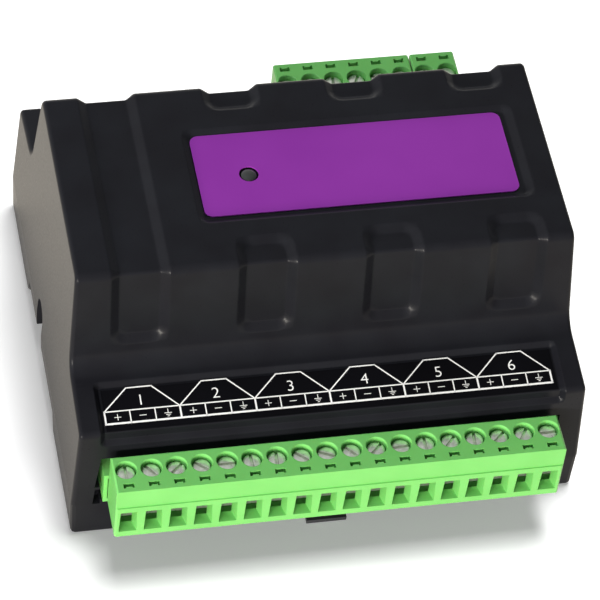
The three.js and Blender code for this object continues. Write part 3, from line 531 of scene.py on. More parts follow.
def zinc_plate(name, rings):
    """Bright zinc plate over turned steel, with the tool's rings round each screw where asked."""
    made, tree, shader, place = material(name, Metallic=0.8, Roughness=0.3)
    mottle = grains(tree, place, MOTTLE, 4.0)
    tree.links.new(ramp(tree, mottle, (0.25, "#d0d4c6"), (0.75, "#f5f8ee")),
                   shader.inputs["Base Color"])
    tree.links.new(ramp(tree, mottle, (0.2, 0.24), (0.8, 0.42)), shader.inputs["Roughness"])
    if rings:
        split = add(tree, "ShaderNodeSeparateXYZ", {"Vector": place}).outputs
        step = math_of(tree, "PINGPONG", split["X"], PITCH * MM)
        across = math_of(tree, "SUBTRACT", step, PITCH / 2 * MM)
        breadth = math_of(tree, "ABSOLUTE", split["Y"])
        along = math_of(tree, "SUBTRACT", breadth, WELL_BREADTH * MM)
        flat = add(tree, "ShaderNodeCombineXYZ", {"X": across, "Y": along})
        waves = add(tree, "ShaderNodeTexWave", {
            "Vector": flat.outputs["Vector"], "Scale": RING_SCALE, "Distortion": 0.6,
            "Detail": 2.0}, wave_type="RINGS", rings_direction="SPHERICAL")
        bumped(tree, shader, waves.outputs["Fac"], 0.02, 0.7)
    else:
        bumped(tree, shader, mottle, 0.01)
    return made


# Moulded ABS is black with a low satin sheen, which greys the faces that mirror a lamp
ABS_BLACK = moulded("moulded_abs_black", "#141418", "#18191d", (0.27, 0.34), 0.45, 0.006,
                    IOR=1.52, Specular_IOR_Level=0.095)
# Moulded nylon is a shade paler and duller than the housing
NYLON_BLACK = moulded("moulded_nylon_black", "#242528", "#2c2d31", (0.36, 0.5), 0.5, 0.01,
                      IOR=1.53)
# Moulded polyamide is a fresh green, and its shade is soft because light runs on under its skin
POLYAMIDE_GREEN = moulded("moulded_polyamide_green", "#64ae58", "#6ab45e", (0.3, 0.42), 0.5, 0.006,
                          IOR=1.53, Specular_IOR_Level=0.3, Subsurface_Weight=0.06,
                          Subsurface_Scale=0.0008)
# Zinc plate is pale and a little mottled, with rings where it was turned, and plain where it was
# folded or drawn
SCREW_ZINC = zinc_plate("turned_zinc_plate", True)
SHEET_ZINC = zinc_plate("folded_zinc_plate", False)
SPRING_STEEL = zinc_plate("drawn_spring_steel", False)


def printed_film(name, dark, pale, roughness, gloss=0.1):
    """Screen-printed polyester: even ink, a faint orange peel, and a matt hard coat."""
    made, tree, shader, place = material(name, IOR=1.58, Specular_IOR_Level=gloss)
    peel = grains(tree, place, FILM_WAVE, 2.0)
    tree.links.new(ramp(tree, grains(tree, place, INK_CLOUD), (0.35, dark), (0.65, pale)),
                   shader.inputs["Base Color"])
    tree.links.new(ramp(tree, peel, (0.2, roughness - 0.05), (0.8, roughness + 0.05)),
                   shader.inputs["Roughness"])
    bumped(tree, shader, peel, 0.004)
    return made


# Printed polyester is flat and even with hardly any sheen, paler where it is cut, and its black
# ground is nearly dead matt. Screen ink is an opaque soft white.
FILM_PURPLE = printed_film("printed_polyester_purple", "#7b2c8d", "#803092", 0.36)
FILM_PALE_EDGE = printed_film("cut_polyester_edge", "#7f3091", "#843496", 0.4)
FILM_BLACK = printed_film("printed_polyester_black", "#08080a", "#0b0b0e", 0.45, 0.02)
INK_WHITE = printed_film("screen_ink_white", "#d9d9d6", "#e6e6e3", 0.5)


def smoked_acrylic():
    """Cast acrylic with a grey tint: dark and clear, with a hard bright highlight."""
    made, tree, shader, place = material(
        "cast_acrylic_smoked", IOR=1.49, Transmission_Weight=0.25, Coat_Weight=0.6)
    haze = grains(tree, place, HAZE)
    tree.links.new(ramp(tree, haze, (0.3, "#141918"), (0.7, "#1e2523")),
                   shader.inputs["Base Color"])
    tree.links.new(ramp(tree, haze, (0.3, 0.06), (0.7, 0.12)), shader.inputs["Roughness"])
    return made


ACRYLIC = smoked_acrylic()


def laminate():
    """Glass-fibre board under green solder resist, with tracks a little proud of the base."""
    made, tree, shader, place = material("resist_on_laminate", IOR=1.5, Roughness=0.32)
    tracks = add(tree, "ShaderNodeTexBrick", {
        "Vector": place, "Scale": 1 / (TRACK_LENGTH * MM), "Mortar Size": 0.03,
        "Mortar Smooth": 0.3,
        "Color1": linear("#0f5a34"), "Color2": linear("#116038"), "Mortar": linear("#2b8a55"),
    })
    weave = grains(tree, place, WEAVE, 2.0)
    tree.links.new(tracks.outputs["Color"], shader.inputs["Base Color"])
    tree.links.new(ramp(tree, weave, (0.2, 0.26), (0.8, 0.4)), shader.inputs["Roughness"])
    bumped(tree, shader, tracks.outputs["Fac"], 0.03, 0.6)
    return made


BOARD = laminate()
# Moulded epoxy is a dull black, and fired ferrite browner and rougher. Shrunk vinyl is a sleek
# dark blue, dipped lacquer a glossy yellow, and cast resin milky with a clear shine.
EPOXY_BLACK = moulded("moulded_epoxy_black", "#17181a", "#202123", (0.5, 0.65), 0.3, 0.01,
                      IOR=1.55)
FERRITE = moulded("fired_ferrite", "#2c2a28", "#3b3835", (0.6, 0.8), 0.35, 0.03, IOR=1.8)
CAN_SLEEVE = moulded("shrunk_vinyl_sleeve", "#222a3e", "#2d3752", (0.28, 0.4), 0.9, 0.01, IOR=1.52)
LACQUER = moulded("dipped_lacquer_yellow", "#b97b20", "#cf9131", (0.3, 0.5), 0.8, 0.03, IOR=1.5)
LED_RESIN = moulded("cast_epoxy_clear", "#c9d8c2", "#dbe8d4", (0.12, 0.2), 1.0, 0.004, IOR=1.51)


# ---- cover ----


def wall_rise(t):
    """A soft wall's share of its depth: straight, with a fillet at its head and its foot."""
    t = min(max(t, 0.0), 1.0)
    f = WALL_FILLET
    if t < f:
        return t * t / (2 * f * (1 - f))
    if t > 1 - f:
        return 1 - (1 - t) ** 2 / (2 * f * (1 - f))
    return (t - f / 2) / (1 - f)


class SectionPath:
    """The cover's outline, from the front foot over the nose to the rear foot, with its bends."""

    def __init__(self):
        half = [(HALF_DEPTH, PARTING), SHOULDER, NOSE_FOOT, NOSE_TOP]
        corners = [Vector((-b, h)) for b, h in half] + [Vector((b, h)) for b, h in half[::-1]]
        self.parts = []
        self.length = 0.0
        start = corners[0]
        for corner, after, radius in zip(corners[1:], corners[2:] + [None], SECTION_RADII[1:]):
            along = (corner - start).normalized()
            if after is None or radius == 0:
                self.straight(start, corner)
                break
            onward = (after - corner).normalized()
            turn = -along.angle_signed(onward)
            reach = radius * math.tan(abs(turn) / 2)
            self.straight(start, corner - along * reach)
            self.parts.append(("arc", self.length, radius * abs(turn), corner - along * reach,
                               along, radius, turn))
            self.length += radius * abs(turn)
            start = corner + onward * reach

    def straight(self, start, end):
        """Adds a straight part."""
        length = (end - start).length
        self.parts.append(("line", self.length, length, start, (end - start).normalized(), 0, 0))
        self.length += length

    def at(self, s):
        """The point at s and the outward normal there."""
        part = next(p for p in self.parts if s <= p[1] + p[2] + 1e-6)
        kind, start, length, point, along, radius, turn = part
        t = min(max(s - start, 0.0), length)
        if kind == "line":
            return point + along * t, Vector((-along.y, along.x))
        side = -1 if turn > 0 else 1
        inward = Vector((along.y, -along.x)) * side
        centre = point + inward * radius
        angle = -side * t / radius
        spin = Matrix.Rotation(angle, 2)
        turned_along = spin @ along
        return centre + spin @ (-inward * radius), Vector((-turned_along.y, turned_along.x))

    def where(self, axis, value, part):
        """The s at which a straight part reaches a value of y (axis 0) or z (axis 1)."""
        _, start, length, point, along, _, _ = [p for p in self.parts if p[0] == "line"][part]
        return start + (value - point[axis]) / along[axis]


PATH = SectionPath()
FRONT_WALL, FRONT_SHELF, FRONT_SLOPE, TOP_FACE, REAR_SLOPE, REAR_SHELF, REAR_WALL = range(7)


def pocket_zones():
    """Each groove and recess as (x0, x1, s0, s1, depth, slope, corner)."""
    front = (PATH.where(1, GROOVE_FOOT, FRONT_SLOPE), PATH.where(0, -GROOVE_TOP, TOP_FACE))
    rear = (PATH.where(0, GROOVE_TOP, TOP_FACE), PATH.where(1, GROOVE_FOOT, REAR_SLOPE))
    # The first groove runs on over the top, and the others are one in front and one behind
    pockets = [(GROOVE, GROOVE_MIDDLES[0], front[0], rear[1])]
    for x in GROOVE_MIDDLES[1:]:
        pockets += [(GROOVE, x, *front), (GROOVE, x, *rear)]
    pockets.append((LABEL_RECESS, LABEL_RECESS["x"],
                    *(PATH.where(0, y, TOP_FACE) for y in LABEL_RECESS_Y)))
    pockets.append((LEGEND_RECESS, LEGEND_RECESS["x"], PATH.where(1, LEGEND_FOOT, FRONT_WALL),
                    PATH.where(0, -LEGEND_BREADTH, FRONT_SHELF)))
    pockets.append((LEGEND_RECESS, LEGEND_RECESS["x"], PATH.where(0, LEGEND_BREADTH, REAR_SHELF),
                    PATH.where(1, LEGEND_FOOT, REAR_WALL)))
    return [(x - kind["width"] / 2, x + kind["width"] / 2, s0, s1,
             kind["depth"], kind["slope"], kind["corner"]) for kind, x, s0, s1 in pockets]


def pocket_depth(zones, x, s):
    """How deep the surface lies under the plain section at a place."""
    deepest = 0.0
    for x0, x1, s0, s1, depth, slope, corner in zones:
        across = min(x - x0, x1 - x)
        along = min(s - s0, s1 - s)
        if across <= 0 or along <= 0:
            continue
        if across < corner and along < corner:
            inside = corner - math.hypot(corner - across, corner - along)
        else:
            inside = min(across, along)
        deepest = max(deepest, depth * wall_rise(inside / slope))
    return deepest


def wall_lines(low, high, slope, corner):
    """Grid lines close together where a pocket's soft walls are."""
    steps = [slope * share for share in WALL_LINES] + [-LINE_BEFORE]
    steps += [slope + behind for behind in LINES_BEHIND]
    steps += [slope + (corner - slope) * k / CORNER_LINES for k in range(1, CORNER_LINES + 1)]
    return [low + t for t in steps] + [high - t for t in steps]


def spread(values):
    """Sorted values with near doubles left out."""
    kept = []
    for value in sorted(values):
        if not kept or value - kept[-1] > LINE_GAP:
            kept.append(value)
    return kept


def end_lean(z):
    """How far an end wall has leant inwards at a height."""
    return END_INSET * max(z - PARTING, 0.0) / (TOP - PARTING)


def cover_skin():
    """The cover's closed outer form: a grid laid over the section, its ends and foot closed."""
    zones = pocket_zones()
    inner_end = HALF_LENGTH - END_EDGE
    xs = [x for z in zones for x in wall_lines(z[0], z[1], z[5], z[6])]
    xs = [x for x in xs if abs(x) < END_BLEND] + [-END_BLEND, END_BLEND]
    rounds = [k / END_STEPS * math.pi / 2 for k in range(END_STEPS + 1)]
    columns = [(x, 0.0) for x in spread(xs)]
    ends = [(inner_end + END_EDGE * math.sin(a), END_EDGE * (1 - math.cos(a))) for a in rounds]
    columns = [(-x, d) for x, d in ends[::-1]] + columns + ends
    rows = [s for z in zones for s in wall_lines(z[2], z[3], z[5], z[6])]
    for kind, start, length, *_ in PATH.parts:
        count = ARC_STEPS if kind == "arc" else 1
        rows += [start + length * k / count for k in range(count + 1)]
    rows = spread(s for s in rows if 0 <= s <= PATH.length)
    rows[-1] = PATH.length

    bpy.ops.mesh.primitive_grid_add(
        x_subdivisions=len(columns) - 1, y_subdivisions=len(rows) - 1, size=2)
    obj = bpy.context.active_object
    mesh = bmesh.new()
    mesh.from_mesh(obj.data)
    grid = sorted(mesh.verts, key=lambda v: (round(v.co.y, 5), v.co.x))
    width = len(columns)
    for r, s in enumerate(rows):
        point, normal = PATH.at(s)
        for c, (x, inset) in enumerate(columns):
            depth = inset + pocket_depth(zones, x, s)
            y, z = point - normal * depth
            blend = min(max((abs(x) - END_BLEND) / (inner_end - END_BLEND), 0.0), 1.0)
            lean = end_lean(point.y) * blend
            if r in (0, len(rows) - 1):
                z = PARTING
            grid[r * width + c].co = Vector((math.copysign(abs(x) - lean, x), y, z)) * MM
    first = [grid[r * width] for r in range(len(rows))]
    last = [grid[r * width + width - 1] for r in range(len(rows))]
    mesh.faces.new(first)
    mesh.faces.new(last)
    mesh.faces.new(grid[:width] + grid[-width:][::-1])
    bmesh.ops.recalc_face_normals(mesh, faces=mesh.faces)
    mesh.to_mesh(obj.data)
    mesh.free()
    return obj


def cover_core():
    """The room inside the cover: stacked from one block by extruding and narrowing."""
    half = HALF_DEPTH - WALL
    obj = block((-HALF_LENGTH + WALL, -half, CORE_FOOT),
                (HALF_LENGTH - WALL, half, SHOULDER[1] - WALL))
    levels = [(NOSE_FOOT[1] - WALL, NOSE_FOOT[0] - WALL), (TOP - WALL, NOSE_TOP[0] - WALL)]
    alone(obj)
    bpy.ops.object.mode_set(mode="EDIT")
    height, breadth = SHOULDER[1] - WALL, half
    for level, reach in levels:
        pick(obj, faces=lambda middle, normal: normal.z > SQUARE and middle.z > height - NEAR)
        shrink = (HALF_LENGTH - WALL - end_lean(level)) / (HALF_LENGTH - WALL - end_lean(height))
        bpy.ops.mesh.extrude_region_move(
            TRANSFORM_OT_translate={"value": (0, 0, (level - height) * MM)})
        bpy.ops.transform.resize(value=(shrink, reach / breadth, 1))
        height, breadth = level, reach
    bpy.ops.object.mode_set(mode="OBJECT")
    return obj


def arch_cutter():
    """The arched notch through both end walls: a lying rod with a block under it."""
    radius = ARCH_WIDTH / 2
    half = HALF_LENGTH + 5 * OVERRUN
    bpy.ops.mesh.primitive_cylinder_add(
        vertices=ARCH_SIDES, radius=radius * MM, depth=2 * half * MM,
        rotation=(0, math.pi / 2, 0),
        location=(0, ARCH_Y * MM, (ARCH_TOP - radius) * MM))
    arch = settled(bpy.context.active_object)
    below = block((-half, ARCH_Y - radius, PARTING - 5 * OVERRUN),
                  (half, ARCH_Y + radius, ARCH_TOP - radius))
    return fused(arch, below)


def leaning(cutter, lean):
    """A cutter whose left side leans outwards towards its foot."""
    middle = sum((v.co for v in cutter.data.vertices), Vector()) / len(cutter.data.vertices)
    for v in cutter.data.vertices:
        if v.co.x < middle.x and v.co.z < middle.z:
            v.co.x -= lean * MM
    return cutter


def housing_cover():
    """The cover: its skin hollowed out, with the light pipe's collar and all its openings."""
    cover = cover_skin()
    cut(cover, cover_core())
    fused(cover, rod(*LIGHT, COLLAR_FOOT, TOP - WALL + COLLAR_OVERLAP, COLLAR_DIAMETER))
    cut(cover, arch_cutter())
    outer = HALF_DEPTH + 2 * OVERRUN
    for low, high, (x0, x1) in ((-outer, -OPENING_INNER, OPENING_FRONT),
                                (OPENING_INNER, outer, OPENING_REAR)):
        cut(cover, block((x0, low, OPENING_FOOT), (x1, high, OPENING_TOP)))
    # The front opening's left side leans away from the plug, with a small slot beside its foot
    left = OPENING_FRONT[0]
    gap = block((left, -outer, GAP_FOOT), (left + GAP_WIDTH, -OPENING_INNER, OPENING_TOP))
    slot = block((SLOT_X[0], -outer, PARTING - OVERRUN), (SLOT_X[1], -OPENING_INNER, SLOT_TOP))
    cut(cover, leaning(gap, GAP_LEAN), leaning(slot, SLOT_LEAN))
    cut(cover, rod(*LIGHT, LIGHT_HOLE_FOOT, TOP + 2 * OVERRUN, LIGHT_HOLE, LIGHT_SIDES))
    smooth(cover, angle=32)
    weighted(cover)
    named(cover, "cover_moulding", "housing", [ABS_BLACK], "housing_cover")


# ---- terminals ----


def pole_block(part):
    """A block round x = 0, from its half width and its spans of y and z."""
    (y0, y1), (z0, z1) = part["y"], part["z"]
    return block((-part["half"], y0, z0), (part["half"], y1, z1))


def pole_cutter():
    """Everything cut out for one pole of a rear plug, as closed bodies round x = 0."""
    rim, above = WELL_RIM, PLUG_TOP + OVERRUN
    well = turned([(0, WELL_FLOOR), (WELL_RADIUS, WELL_FLOOR),
                   (WELL_RADIUS, PLUG_TOP - rim["under"]), (rim["radius"], PLUG_TOP + rim["over"]),
                   (rim["radius"], above), (0, above)], 0, WELL_BREADTH, WELL_SIDES)
    fused(well, rod(0, WELL_BREADTH, SHANK_FOOT, WELL_FLOOR + BORE_OVERLAP, SHANK_BORE,
                    SHANK_SIDES))
    inner = PLUG_FACE - FUNNEL_DEPTH
    chamber = pole_block(CAGE_ROOM)

    # The wire's hole opens out to a funnel, which is narrower at its head
    funnel = block((-WIRE_WIDTH / 2, inner - HOLE_OVERLAP, WIRE_HOLE[0]),
                   (WIRE_WIDTH / 2, inner, WIRE_HOLE[1]))
    alone(funnel)
    bpy.ops.object.mode_set(mode="EDIT")
    pick(funnel, faces=lambda middle, normal: normal.y > SQUARE)
    middle = [sum(span) / 2 for span in (WIRE_HOLE, FUNNEL)]
    wider = (FUNNEL[1] - FUNNEL[0]) / (WIRE_HOLE[1] - WIRE_HOLE[0])
    bpy.ops.mesh.extrude_region_move(
        TRANSFORM_OT_translate={"value": (0, FUNNEL_DEPTH * MM, (middle[1] - middle[0]) * MM)})
    bpy.ops.transform.resize(value=(FUNNEL_WIDTH / WIRE_WIDTH, 1, wider),
                             center_override=(0, PLUG_FACE * MM, middle[1] * MM))
    bpy.ops.mesh.extrude_region_move(TRANSFORM_OT_translate={"value": (0, OVERRUN * MM, 0)})
    bpy.ops.object.mode_set(mode="OBJECT")
    for v in funnel.data.vertices:
        if v.co.z > middle[0] * MM:
            v.co.x *= FUNNEL_HEAD
    softened(funnel, PLUG_ROUND)
    fused(well, fused(chamber, funnel))

    # The probe's slot, with a tongue standing in it
    probe, stub = PROBE, PROBE_TONGUE
    slot = block((-probe["half"], PROBE_BREADTH - probe["reach"], PLUG_TOP - probe["depth"]),
                 (probe["half"], PROBE_BREADTH + probe["reach"], PLUG_TOP + 2 * OVERRUN))
    cut(slot, block((-stub["half"], PROBE_BREADTH + stub["setback"], PLUG_TOP - stub["depth"]),
                    (stub["half"], PROBE_BREADTH + OVERRUN, PLUG_TOP + 3 * OVERRUN)))
    return together([well, slot, pole_block(SOCKET)])


def pole_places(left, poles):
    """The middle of each pole of a plug."""
    return [(left + (i + 0.5) * PITCH, 0, 0) for i in range(poles)]


def plug(left, poles, gap):
    """A rear plug: softened block and tongue with all its poles, and the ledge along its face."""
    x0, x1 = left + gap, left + poles * PITCH - gap
    body = block((x0, PLUG_REAR, PLUG_FOOT), (x1, PLUG_FACE, PLUG_TOP))
    alone(body)
    bpy.ops.object.mode_set(mode="EDIT")
    pick(body, edges=lambda a, b: (min(a.z, b.z) > PLUG_TOP - OVERRUN
                                   and min(a.y, b.y) < PLUG_REAR + OVERRUN))
    bpy.ops.mesh.bevel(offset=PLUG_EDGE * MM, segments=1)
    pick(body, edges=lambda a, b: (min(a.y, b.y) > PLUG_FACE - OVERRUN
                                   and abs(a.z - b.z) > 5 * OVERRUN))
    bpy.ops.mesh.bevel(offset=PLUG_EDGE * MM, segments=1)
    bpy.ops.object.mode_set(mode="OBJECT")
    cut(body, block((x0 - OVERRUN, PLUG_FACE - LEDGE_DEPTH, FACE_LEDGE),
                    (x1 + OVERRUN, PLUG_FACE + OVERRUN, PLUG_TOP + 3 * OVERRUN)))
    softened(body, PLUG_ROUND, angle=30)
    tongue = block((left + PLUG_GAP, TONGUE_REACH, TONGUE[0]),
                   (left + poles * PITCH - PLUG_GAP, PLUG_REAR + OVERRUN, TONGUE[1]))
    fused(body, softened(tongue, TONGUE_ROUND))
    cut(body, repeated(pole_cutter(), pole_places(left, poles)))
    smooth(body, angle=30)
    return weighted(body)


def cages(left, poles):
    """The plated clamp cages in a rear plug."""
    shell = pole_block(CAGE)
    bore = rod(0, WELL_BREADTH, *CAGE_BORE["z"], CAGE_BORE["diameter"], CAGE_SIDES)
    cut(shell, pole_block(CAGE_WINDOW), bore)
    softened(shell, CAGE_ROUND)
    smooth(shell)
    return repeated(shell, pole_places(left, poles))


def clamp_screw(x, y, angle):
    """A slotted cheese-head screw with its thread turned in rings."""
    low = SCREW_TOP - SCREW_LENGTH
    profile = [(0, low), (TIP_RADIUS, low)]
    for ring in range(THREAD_RINGS):
        z = low + THREAD_START + ring * THREAD_PITCH
        profile += [(radius, z + up) for radius, up in THREAD]
    profile += [(radius, SCREW_TOP - HEAD_HEIGHT + up) for radius, up in HEAD_FOOT]
    profile += [(radius, SCREW_TOP + up) for radius, up in HEAD_CROWN]
    screw = turned(profile, x, y, SCREW_SIDES)
    bpy.ops.mesh.primitive_cube_add(
        size=1, location=(x * MM, y * MM, SCREW_TOP * MM), rotation=(0, 0, math.radians(angle)),
        scale=Vector(SCREW_SLOT) * MM)
    cut(screw, settled(bpy.context.active_object))
    softened(screw, SCREW_ROUND, segments=1, angle=50)
    return smooth(screw, angle=30)


def terminals():
    """The three plugs with their cages and screws, each riding on its own body."""
    for kind, left, slots, side, gap in (
            ("output", OUTPUT_LEFT, OUTPUT_SLOTS, -1, OUTPUT_PLUG_GAP),
            ("input", INPUT_LEFT, INPUT_SLOTS, 1, PLUG_GAP),
            ("power", POWER_LEFT, POWER_SLOTS, 1, PLUG_GAP)):
        poles = len(slots)
        body, inner = plug(left, poles, gap), cages(left, poles)
        if side < 0:
            half_turn(body)
            half_turn(inner)
        named(body, kind + "_plug_moulding", kind + "_plug", [POLYAMIDE_GREEN], kind + "_plug")
        named(inner, kind + "_clamp_cages", kind + "_plug", [SHEET_ZINC])
        digits = len(str(poles))
        for number, (angle, place) in enumerate(zip(slots, pole_places(left, poles)), 1):
            node = "%s_screw_%0*d" % (kind, digits, number)
            screw = clamp_screw(place[0], side * WELL_BREADTH, angle)
            named(screw, node + "_turned", node, [SCREW_ZINC], node)


# ---- films and light pipe ----


def label_film():
    """The purple film: rounded corners, a thin cut edge and a hole for the light pipe."""
    film = block((FILM_X[0], FILM_Y[0], FILM_FOOT),
                 (FILM_X[1], FILM_Y[1], FILM_FOOT + FILM_THICKNESS))
    alone(film)
    bpy.ops.object.mode_set(mode="EDIT")
    pick(film, edges=lambda a, b: abs(a.z - b.z) > FILM_THICKNESS / 2)
    bpy.ops.mesh.bevel(offset=FILM_CORNER * MM, segments=FILM_CORNER_STEPS)
    pick(film, faces=lambda middle, normal: normal.z > SQUARE)
    bpy.ops.mesh.inset(thickness=FILM_EDGE * MM)
    bpy.ops.object.mode_set(mode="OBJECT")
    cut(film, rod(*LIGHT, FILM_FOOT - OVERRUN, FILM_FOOT + OVERRUN,
                  LIGHT_HOLE + FILM_HOLE_GAP, LIGHT_SIDES))
    named(film, "label_film", "housing", [FILM_PURPLE, FILM_PALE_EDGE], "label_overlay")
    for face in film.data.polygons:
        middle = face.center / MM
        wide = face.normal.z > SQUARE and face.area > FILM_FACE_AREA * MM * MM
        rim = math.hypot(middle.x - LIGHT[0], middle.y - LIGHT[1]) < LIGHT_HOLE
        face.material_index = 0 if wide or rim or face.normal.z < -SQUARE else 1


def light_lens():
    """The light pipe: a flanged rod with a domed end standing level with the film."""
    top = FILM_FOOT + FILM_THICKNESS
    dome = [(PIPE_RADIUS * math.cos(a), top - DOME_HEIGHT + DOME_HEIGHT * math.sin(a))
            for a in (k / DOME_STEPS * math.pi / 2 for k in range(DOME_STEPS - 1))]
    flange = COLLAR_FOOT - FLANGE_GAP
    foot = flange - FLANGE_HEIGHT
    profile = [(0, PIPE_FOOT), (PIPE_RADIUS - PIPE_EDGE, PIPE_FOOT),
               (PIPE_RADIUS, PIPE_FOOT + PIPE_EDGE), (PIPE_RADIUS, foot),
               (FLANGE_RADIUS - PIPE_EDGE / 2, foot), (FLANGE_RADIUS, foot + PIPE_EDGE),
               (FLANGE_RADIUS, flange - PIPE_EDGE), (FLANGE_RADIUS - PIPE_EDGE, flange),
               (PIPE_RADIUS, flange)]
    lens = turned(profile + dome + [(0, top)], *LIGHT, LIGHT_SIDES)
    named(smooth(lens, angle=40), "light_pipe_lens", "housing", [ACRYLIC], "light_pipe")


def ink_bar(u0, v0, u1, v1, width):
    """A bar of ink between two points of the film, u along it and v up the shelf."""
    start, end = Vector((u0, v0, 0)), Vector((u1, v1, 0))
    along = end - start
    bpy.ops.mesh.primitive_cube_add(
        size=1, location=(start + end) / 2 * MM, rotation=(0, 0, math.atan2(along.y, along.x)),
        scale=Vector((along.length + width, width, INK)) * MM)
    return settled(bpy.context.active_object)


def ink_number(number, u, v):
    """A plain number in ink, with its foot in the middle at u, v."""
    bpy.ops.object.text_add(location=(0, 0, 0))
    figure = bpy.context.active_object
    figure.data.body = str(number)
    figure.data.align_x = "CENTER"
    figure.data.size = NUMBER["size"]
    figure.data.offset = NUMBER["thinned"]
    figure.data.extrude = INK / 2
    figure.location = (u * MM, v * MM, 0)
    figure.scale = (MM, MM, MM)
    alone(figure)
    bpy.ops.object.convert(target="MESH")
    return welded(settled(bpy.context.active_object))


def pole_signs(plus, minus, earth, v):
    """The plus, minus and earth signs of one output's three poles."""
    half, stroke = PLUS["half"], PLUS["stroke"]
    marks = [ink_bar(plus - half, v, plus + half, v, stroke),
             ink_bar(plus, v - half, plus, v + half, stroke),
             ink_bar(minus - MINUS["half"], v, minus + MINUS["half"], v, MINUS["stroke"]),
             ink_bar(earth, v + EARTH["stem"], earth, v, EARTH["stroke"])]
    for number, half in enumerate(EARTH["bars"]):
        low = v - number * EARTH["step"]
        marks.append(ink_bar(earth - half, low, earth + half, low, EARTH["stroke"]))
    return marks


def legend_print():
    """White ink on the front legend film: cells, fans, signs and plain numbers."""
    slope = math.atan2(NOSE_FOOT[1] - SHOULDER[1], SHOULDER[0] - NOSE_FOOT[0])
    bottom, cells, apex = (-(b - SHOULDER[0]) / math.cos(slope) for b in LEGEND_ROWS)
    poles = len(OUTPUT_SLOTS)
    left = OUTPUT_LEFT - LEGEND_SHIFT
    right = left + poles * PITCH
    marks = [ink_bar(left, bottom, right, bottom, FOOT_STROKE),
             ink_bar(left, cells, right, cells, FAN_STROKE)]
    for i in range(poles + 1):
        marks.append(ink_bar(left + i * PITCH, bottom, left + i * PITCH, cells,
                             CELL_STROKE if i % POLES_PER_OUTPUT else GROUP_STROKE))
    for output in range(poles // POLES_PER_OUTPUT):
        foot = left + output * POLES_PER_OUTPUT * PITCH
        fan = ((foot, cells), (foot + PITCH, apex), (foot + 2 * PITCH, apex),
               (foot + 3 * PITCH, cells))
        marks += [ink_bar(*start, *end, FAN_STROKE) for start, end in zip(fan, fan[1:])]
        marks += pole_signs(*(foot + (k + 0.5) * PITCH for k in range(3)), (bottom + cells) / 2)
        marks.append(ink_number(output + 1, foot + 1.5 * PITCH, cells + NUMBER["lift"]))
    print_body = together(marks)
    shoulder = Vector((0, -SHOULDER[0], SHOULDER[1])) * MM
    proud = (-LEGEND_RECESS["depth"] + GLUE + FILM_THICKNESS + INK / 2) * MM
    print_body.data.transform(
        Matrix.Translation(shoulder) @ Matrix.Rotation(slope, 4, "X")
        @ Matrix.Translation((0, 0, proud)))
    named(print_body, "legend_print", "housing", [INK_WHITE])


# ---- floor, light and camera ----


def linked_to(floor, name, state):
    """A group of one, the floor, which a lamp lights alone or leaves out."""
    group = bpy.data.collections.new(name)
    group.objects.link(floor)
    group.collection_objects[0].light_linking.link_state = state
    return group


def studio_floor():
    """A wide pale floor that keeps the soft shadow, and glows to white far away."""
    bpy.ops.mesh.primitive_plane_add(size=FLOOR_SIZE)
    floor = bpy.context.active_object
    floor.name = "studio_floor"
    made, tree, shader, place = material("pale_floor", Roughness=0.9)
    rays = add(tree, "ShaderNodeLightPath").outputs
    # Light that bounces off the floor is warmer and weaker than the white that the camera sees
    tree.links.new(ramp(tree, rays["Is Camera Ray"], (0.0, "#d8cebc"), (1.0, "#f2f2f2")),
                   shader.inputs["Base Color"])
    away = add(tree, "ShaderNodeVectorMath", {0: place}, operation="LENGTH").outputs["Value"]
    lift = math_of(tree, "MULTIPLY", seen_directly(tree, rays),
                   graded(tree, away, FLOOR_DISTANCES, FLOOR_GLOW))
    glow = add(tree, "ShaderNodeEmission", {"Color": linear("#ffffff"), "Strength": lift})
    total = add(tree, "ShaderNodeAddShader", {0: shader.outputs[0], 1: glow.outputs[0]})
    tree.links.new(total.outputs[0], tree.nodes["Material Output"].inputs["Surface"])
    floor.data.materials.append(made)
    return floor


def studio_air():
    """Weak even light from all round, white to the camera, and graded to what reflects it."""
    world = bpy.data.worlds.new("studio_air")
    bpy.context.scene.world = world
    world.use_nodes = True
    sky = world.node_tree
    rays = add(sky, "ShaderNodeLightPath").outputs
    way = add(sky, "ShaderNodeTexCoord").outputs["Generated"]
    way = add(sky, "ShaderNodeSeparateXYZ", {"Vector": way}).outputs
    dim = math_of(sky, "MULTIPLY", graded(sky, way["Z"], CEILING_Z, (1.0, CEILING_DIM)),
                  graded(sky, way["X"], WING_X, (1.0, WING_DIM)))
    pale = math_of(sky, "MAXIMUM", dim, rays["Is Camera Ray"])
    back = sky.nodes["Background"]
    sky.links.new(graded(sky, seen_directly(sky, rays), (0.0, 1.0), (AIR_STRENGTH, pale)),
                  back.inputs["Strength"])
    back.inputs["Color"].default_value = linear("#ffffff")


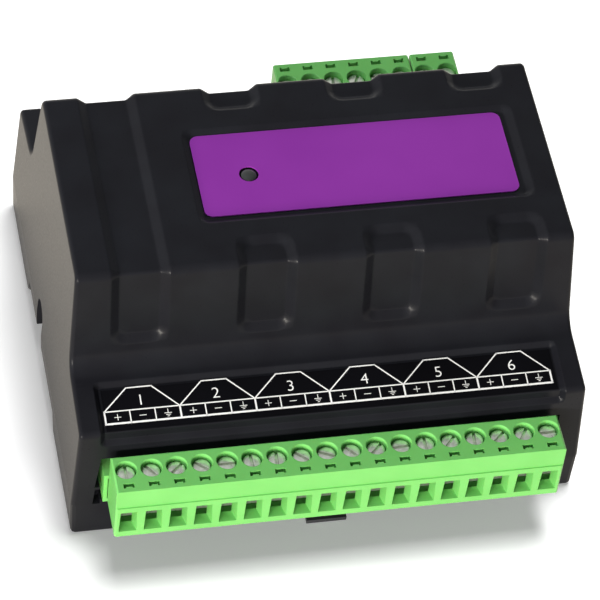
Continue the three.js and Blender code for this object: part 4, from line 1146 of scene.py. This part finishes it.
def lamps(floor):
    """The soft lamps, each turned to the object, and each with what it lights."""
    groups = {"object": linked_to(floor, "object_light", "EXCLUDE"),
              "floor": linked_to(floor, "floor_light", "INCLUDE")}
    for name, place, size, watts, tint, lit in LAMPS:
        bpy.ops.object.light_add(type="AREA", location=place)
        lamp = bpy.context.active_object
        lamp.name = name + "_lamp"
        lamp.data.shape = "RECTANGLE"
        lamp.data.size, lamp.data.size_y = size
        lamp.data.energy = watts
        lamp.data.color = linear(tint)[:3]
        lamp.rotation_euler = (-Vector(place)).to_track_quat("-Z", "Y").to_euler()
        lamp.visible_glossy = name == MIRRORED_LAMP
        lamp.visible_camera = False
        lamp.light_linking.receiver_collection = groups[lit]


def camera():
    """Looks down from the left front through a long lens, tilted a little."""
    azimuth, elevation, roll = (math.radians(a) for a in CAMERA_ANGLES)
    back = Vector((math.sin(azimuth) * math.cos(elevation),
                   -math.cos(azimuth) * math.cos(elevation), math.sin(elevation)))
    level = Vector((math.cos(azimuth), math.sin(azimuth), 0))
    up = back.cross(level)
    right = level * math.cos(roll) + up * math.sin(roll)
    top = up * math.cos(roll) - level * math.sin(roll)
    place = Vector(CAMERA_AIM)
    for axis, length in zip((right, top, back), CAMERA_WAY):
        place += axis * length
    bpy.ops.object.camera_add()
    eye = bpy.context.active_object
    eye.name = "camera"
    turn = Matrix((right, top, back)).transposed().to_4x4()
    eye.matrix_world = Matrix.Translation(place * MM) @ turn
    eye.data.sensor_width = CAMERA_SENSOR
    eye.data.lens = CAMERA_LENS
    eye.data.clip_start = CAMERA_CLIP * MM
    bpy.context.scene.camera = eye


camera()
studio_air()
lamps(studio_floor())
housing_cover()
terminals()
label_film()
light_lens()
legend_print()

# The nodes that stay as they are get a finish by the record's material slots
LOOKS = {
    "housing": ABS_BLACK, "latch": NYLON_BLACK, "spring_steel": SPRING_STEEL,
    "label_film": FILM_PURPLE, "legend_film": FILM_BLACK, "light_pipe": ACRYLIC, "board": BOARD,
    "terminal_green": POLYAMIDE_GREEN, "plated_steel": SHEET_ZINC, "chip": EPOXY_BLACK,
    "ferrite": FERRITE, "can_sleeve": CAN_SLEEVE, "fuse_lacquer": LACQUER, "led": LED_RESIN,
}
for entry in frame["record"]["subparts"]:
    node = frame["nodes"][entry["node"]]
    for index in range(len(node.material_slots)):
        node.material_slots[index].material = LOOKS[entry["material_slot"]]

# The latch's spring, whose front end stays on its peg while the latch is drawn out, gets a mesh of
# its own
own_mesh(frame["nodes"]["latch_spring"])

bpy.context.scene.view_settings.view_transform = "Standard"
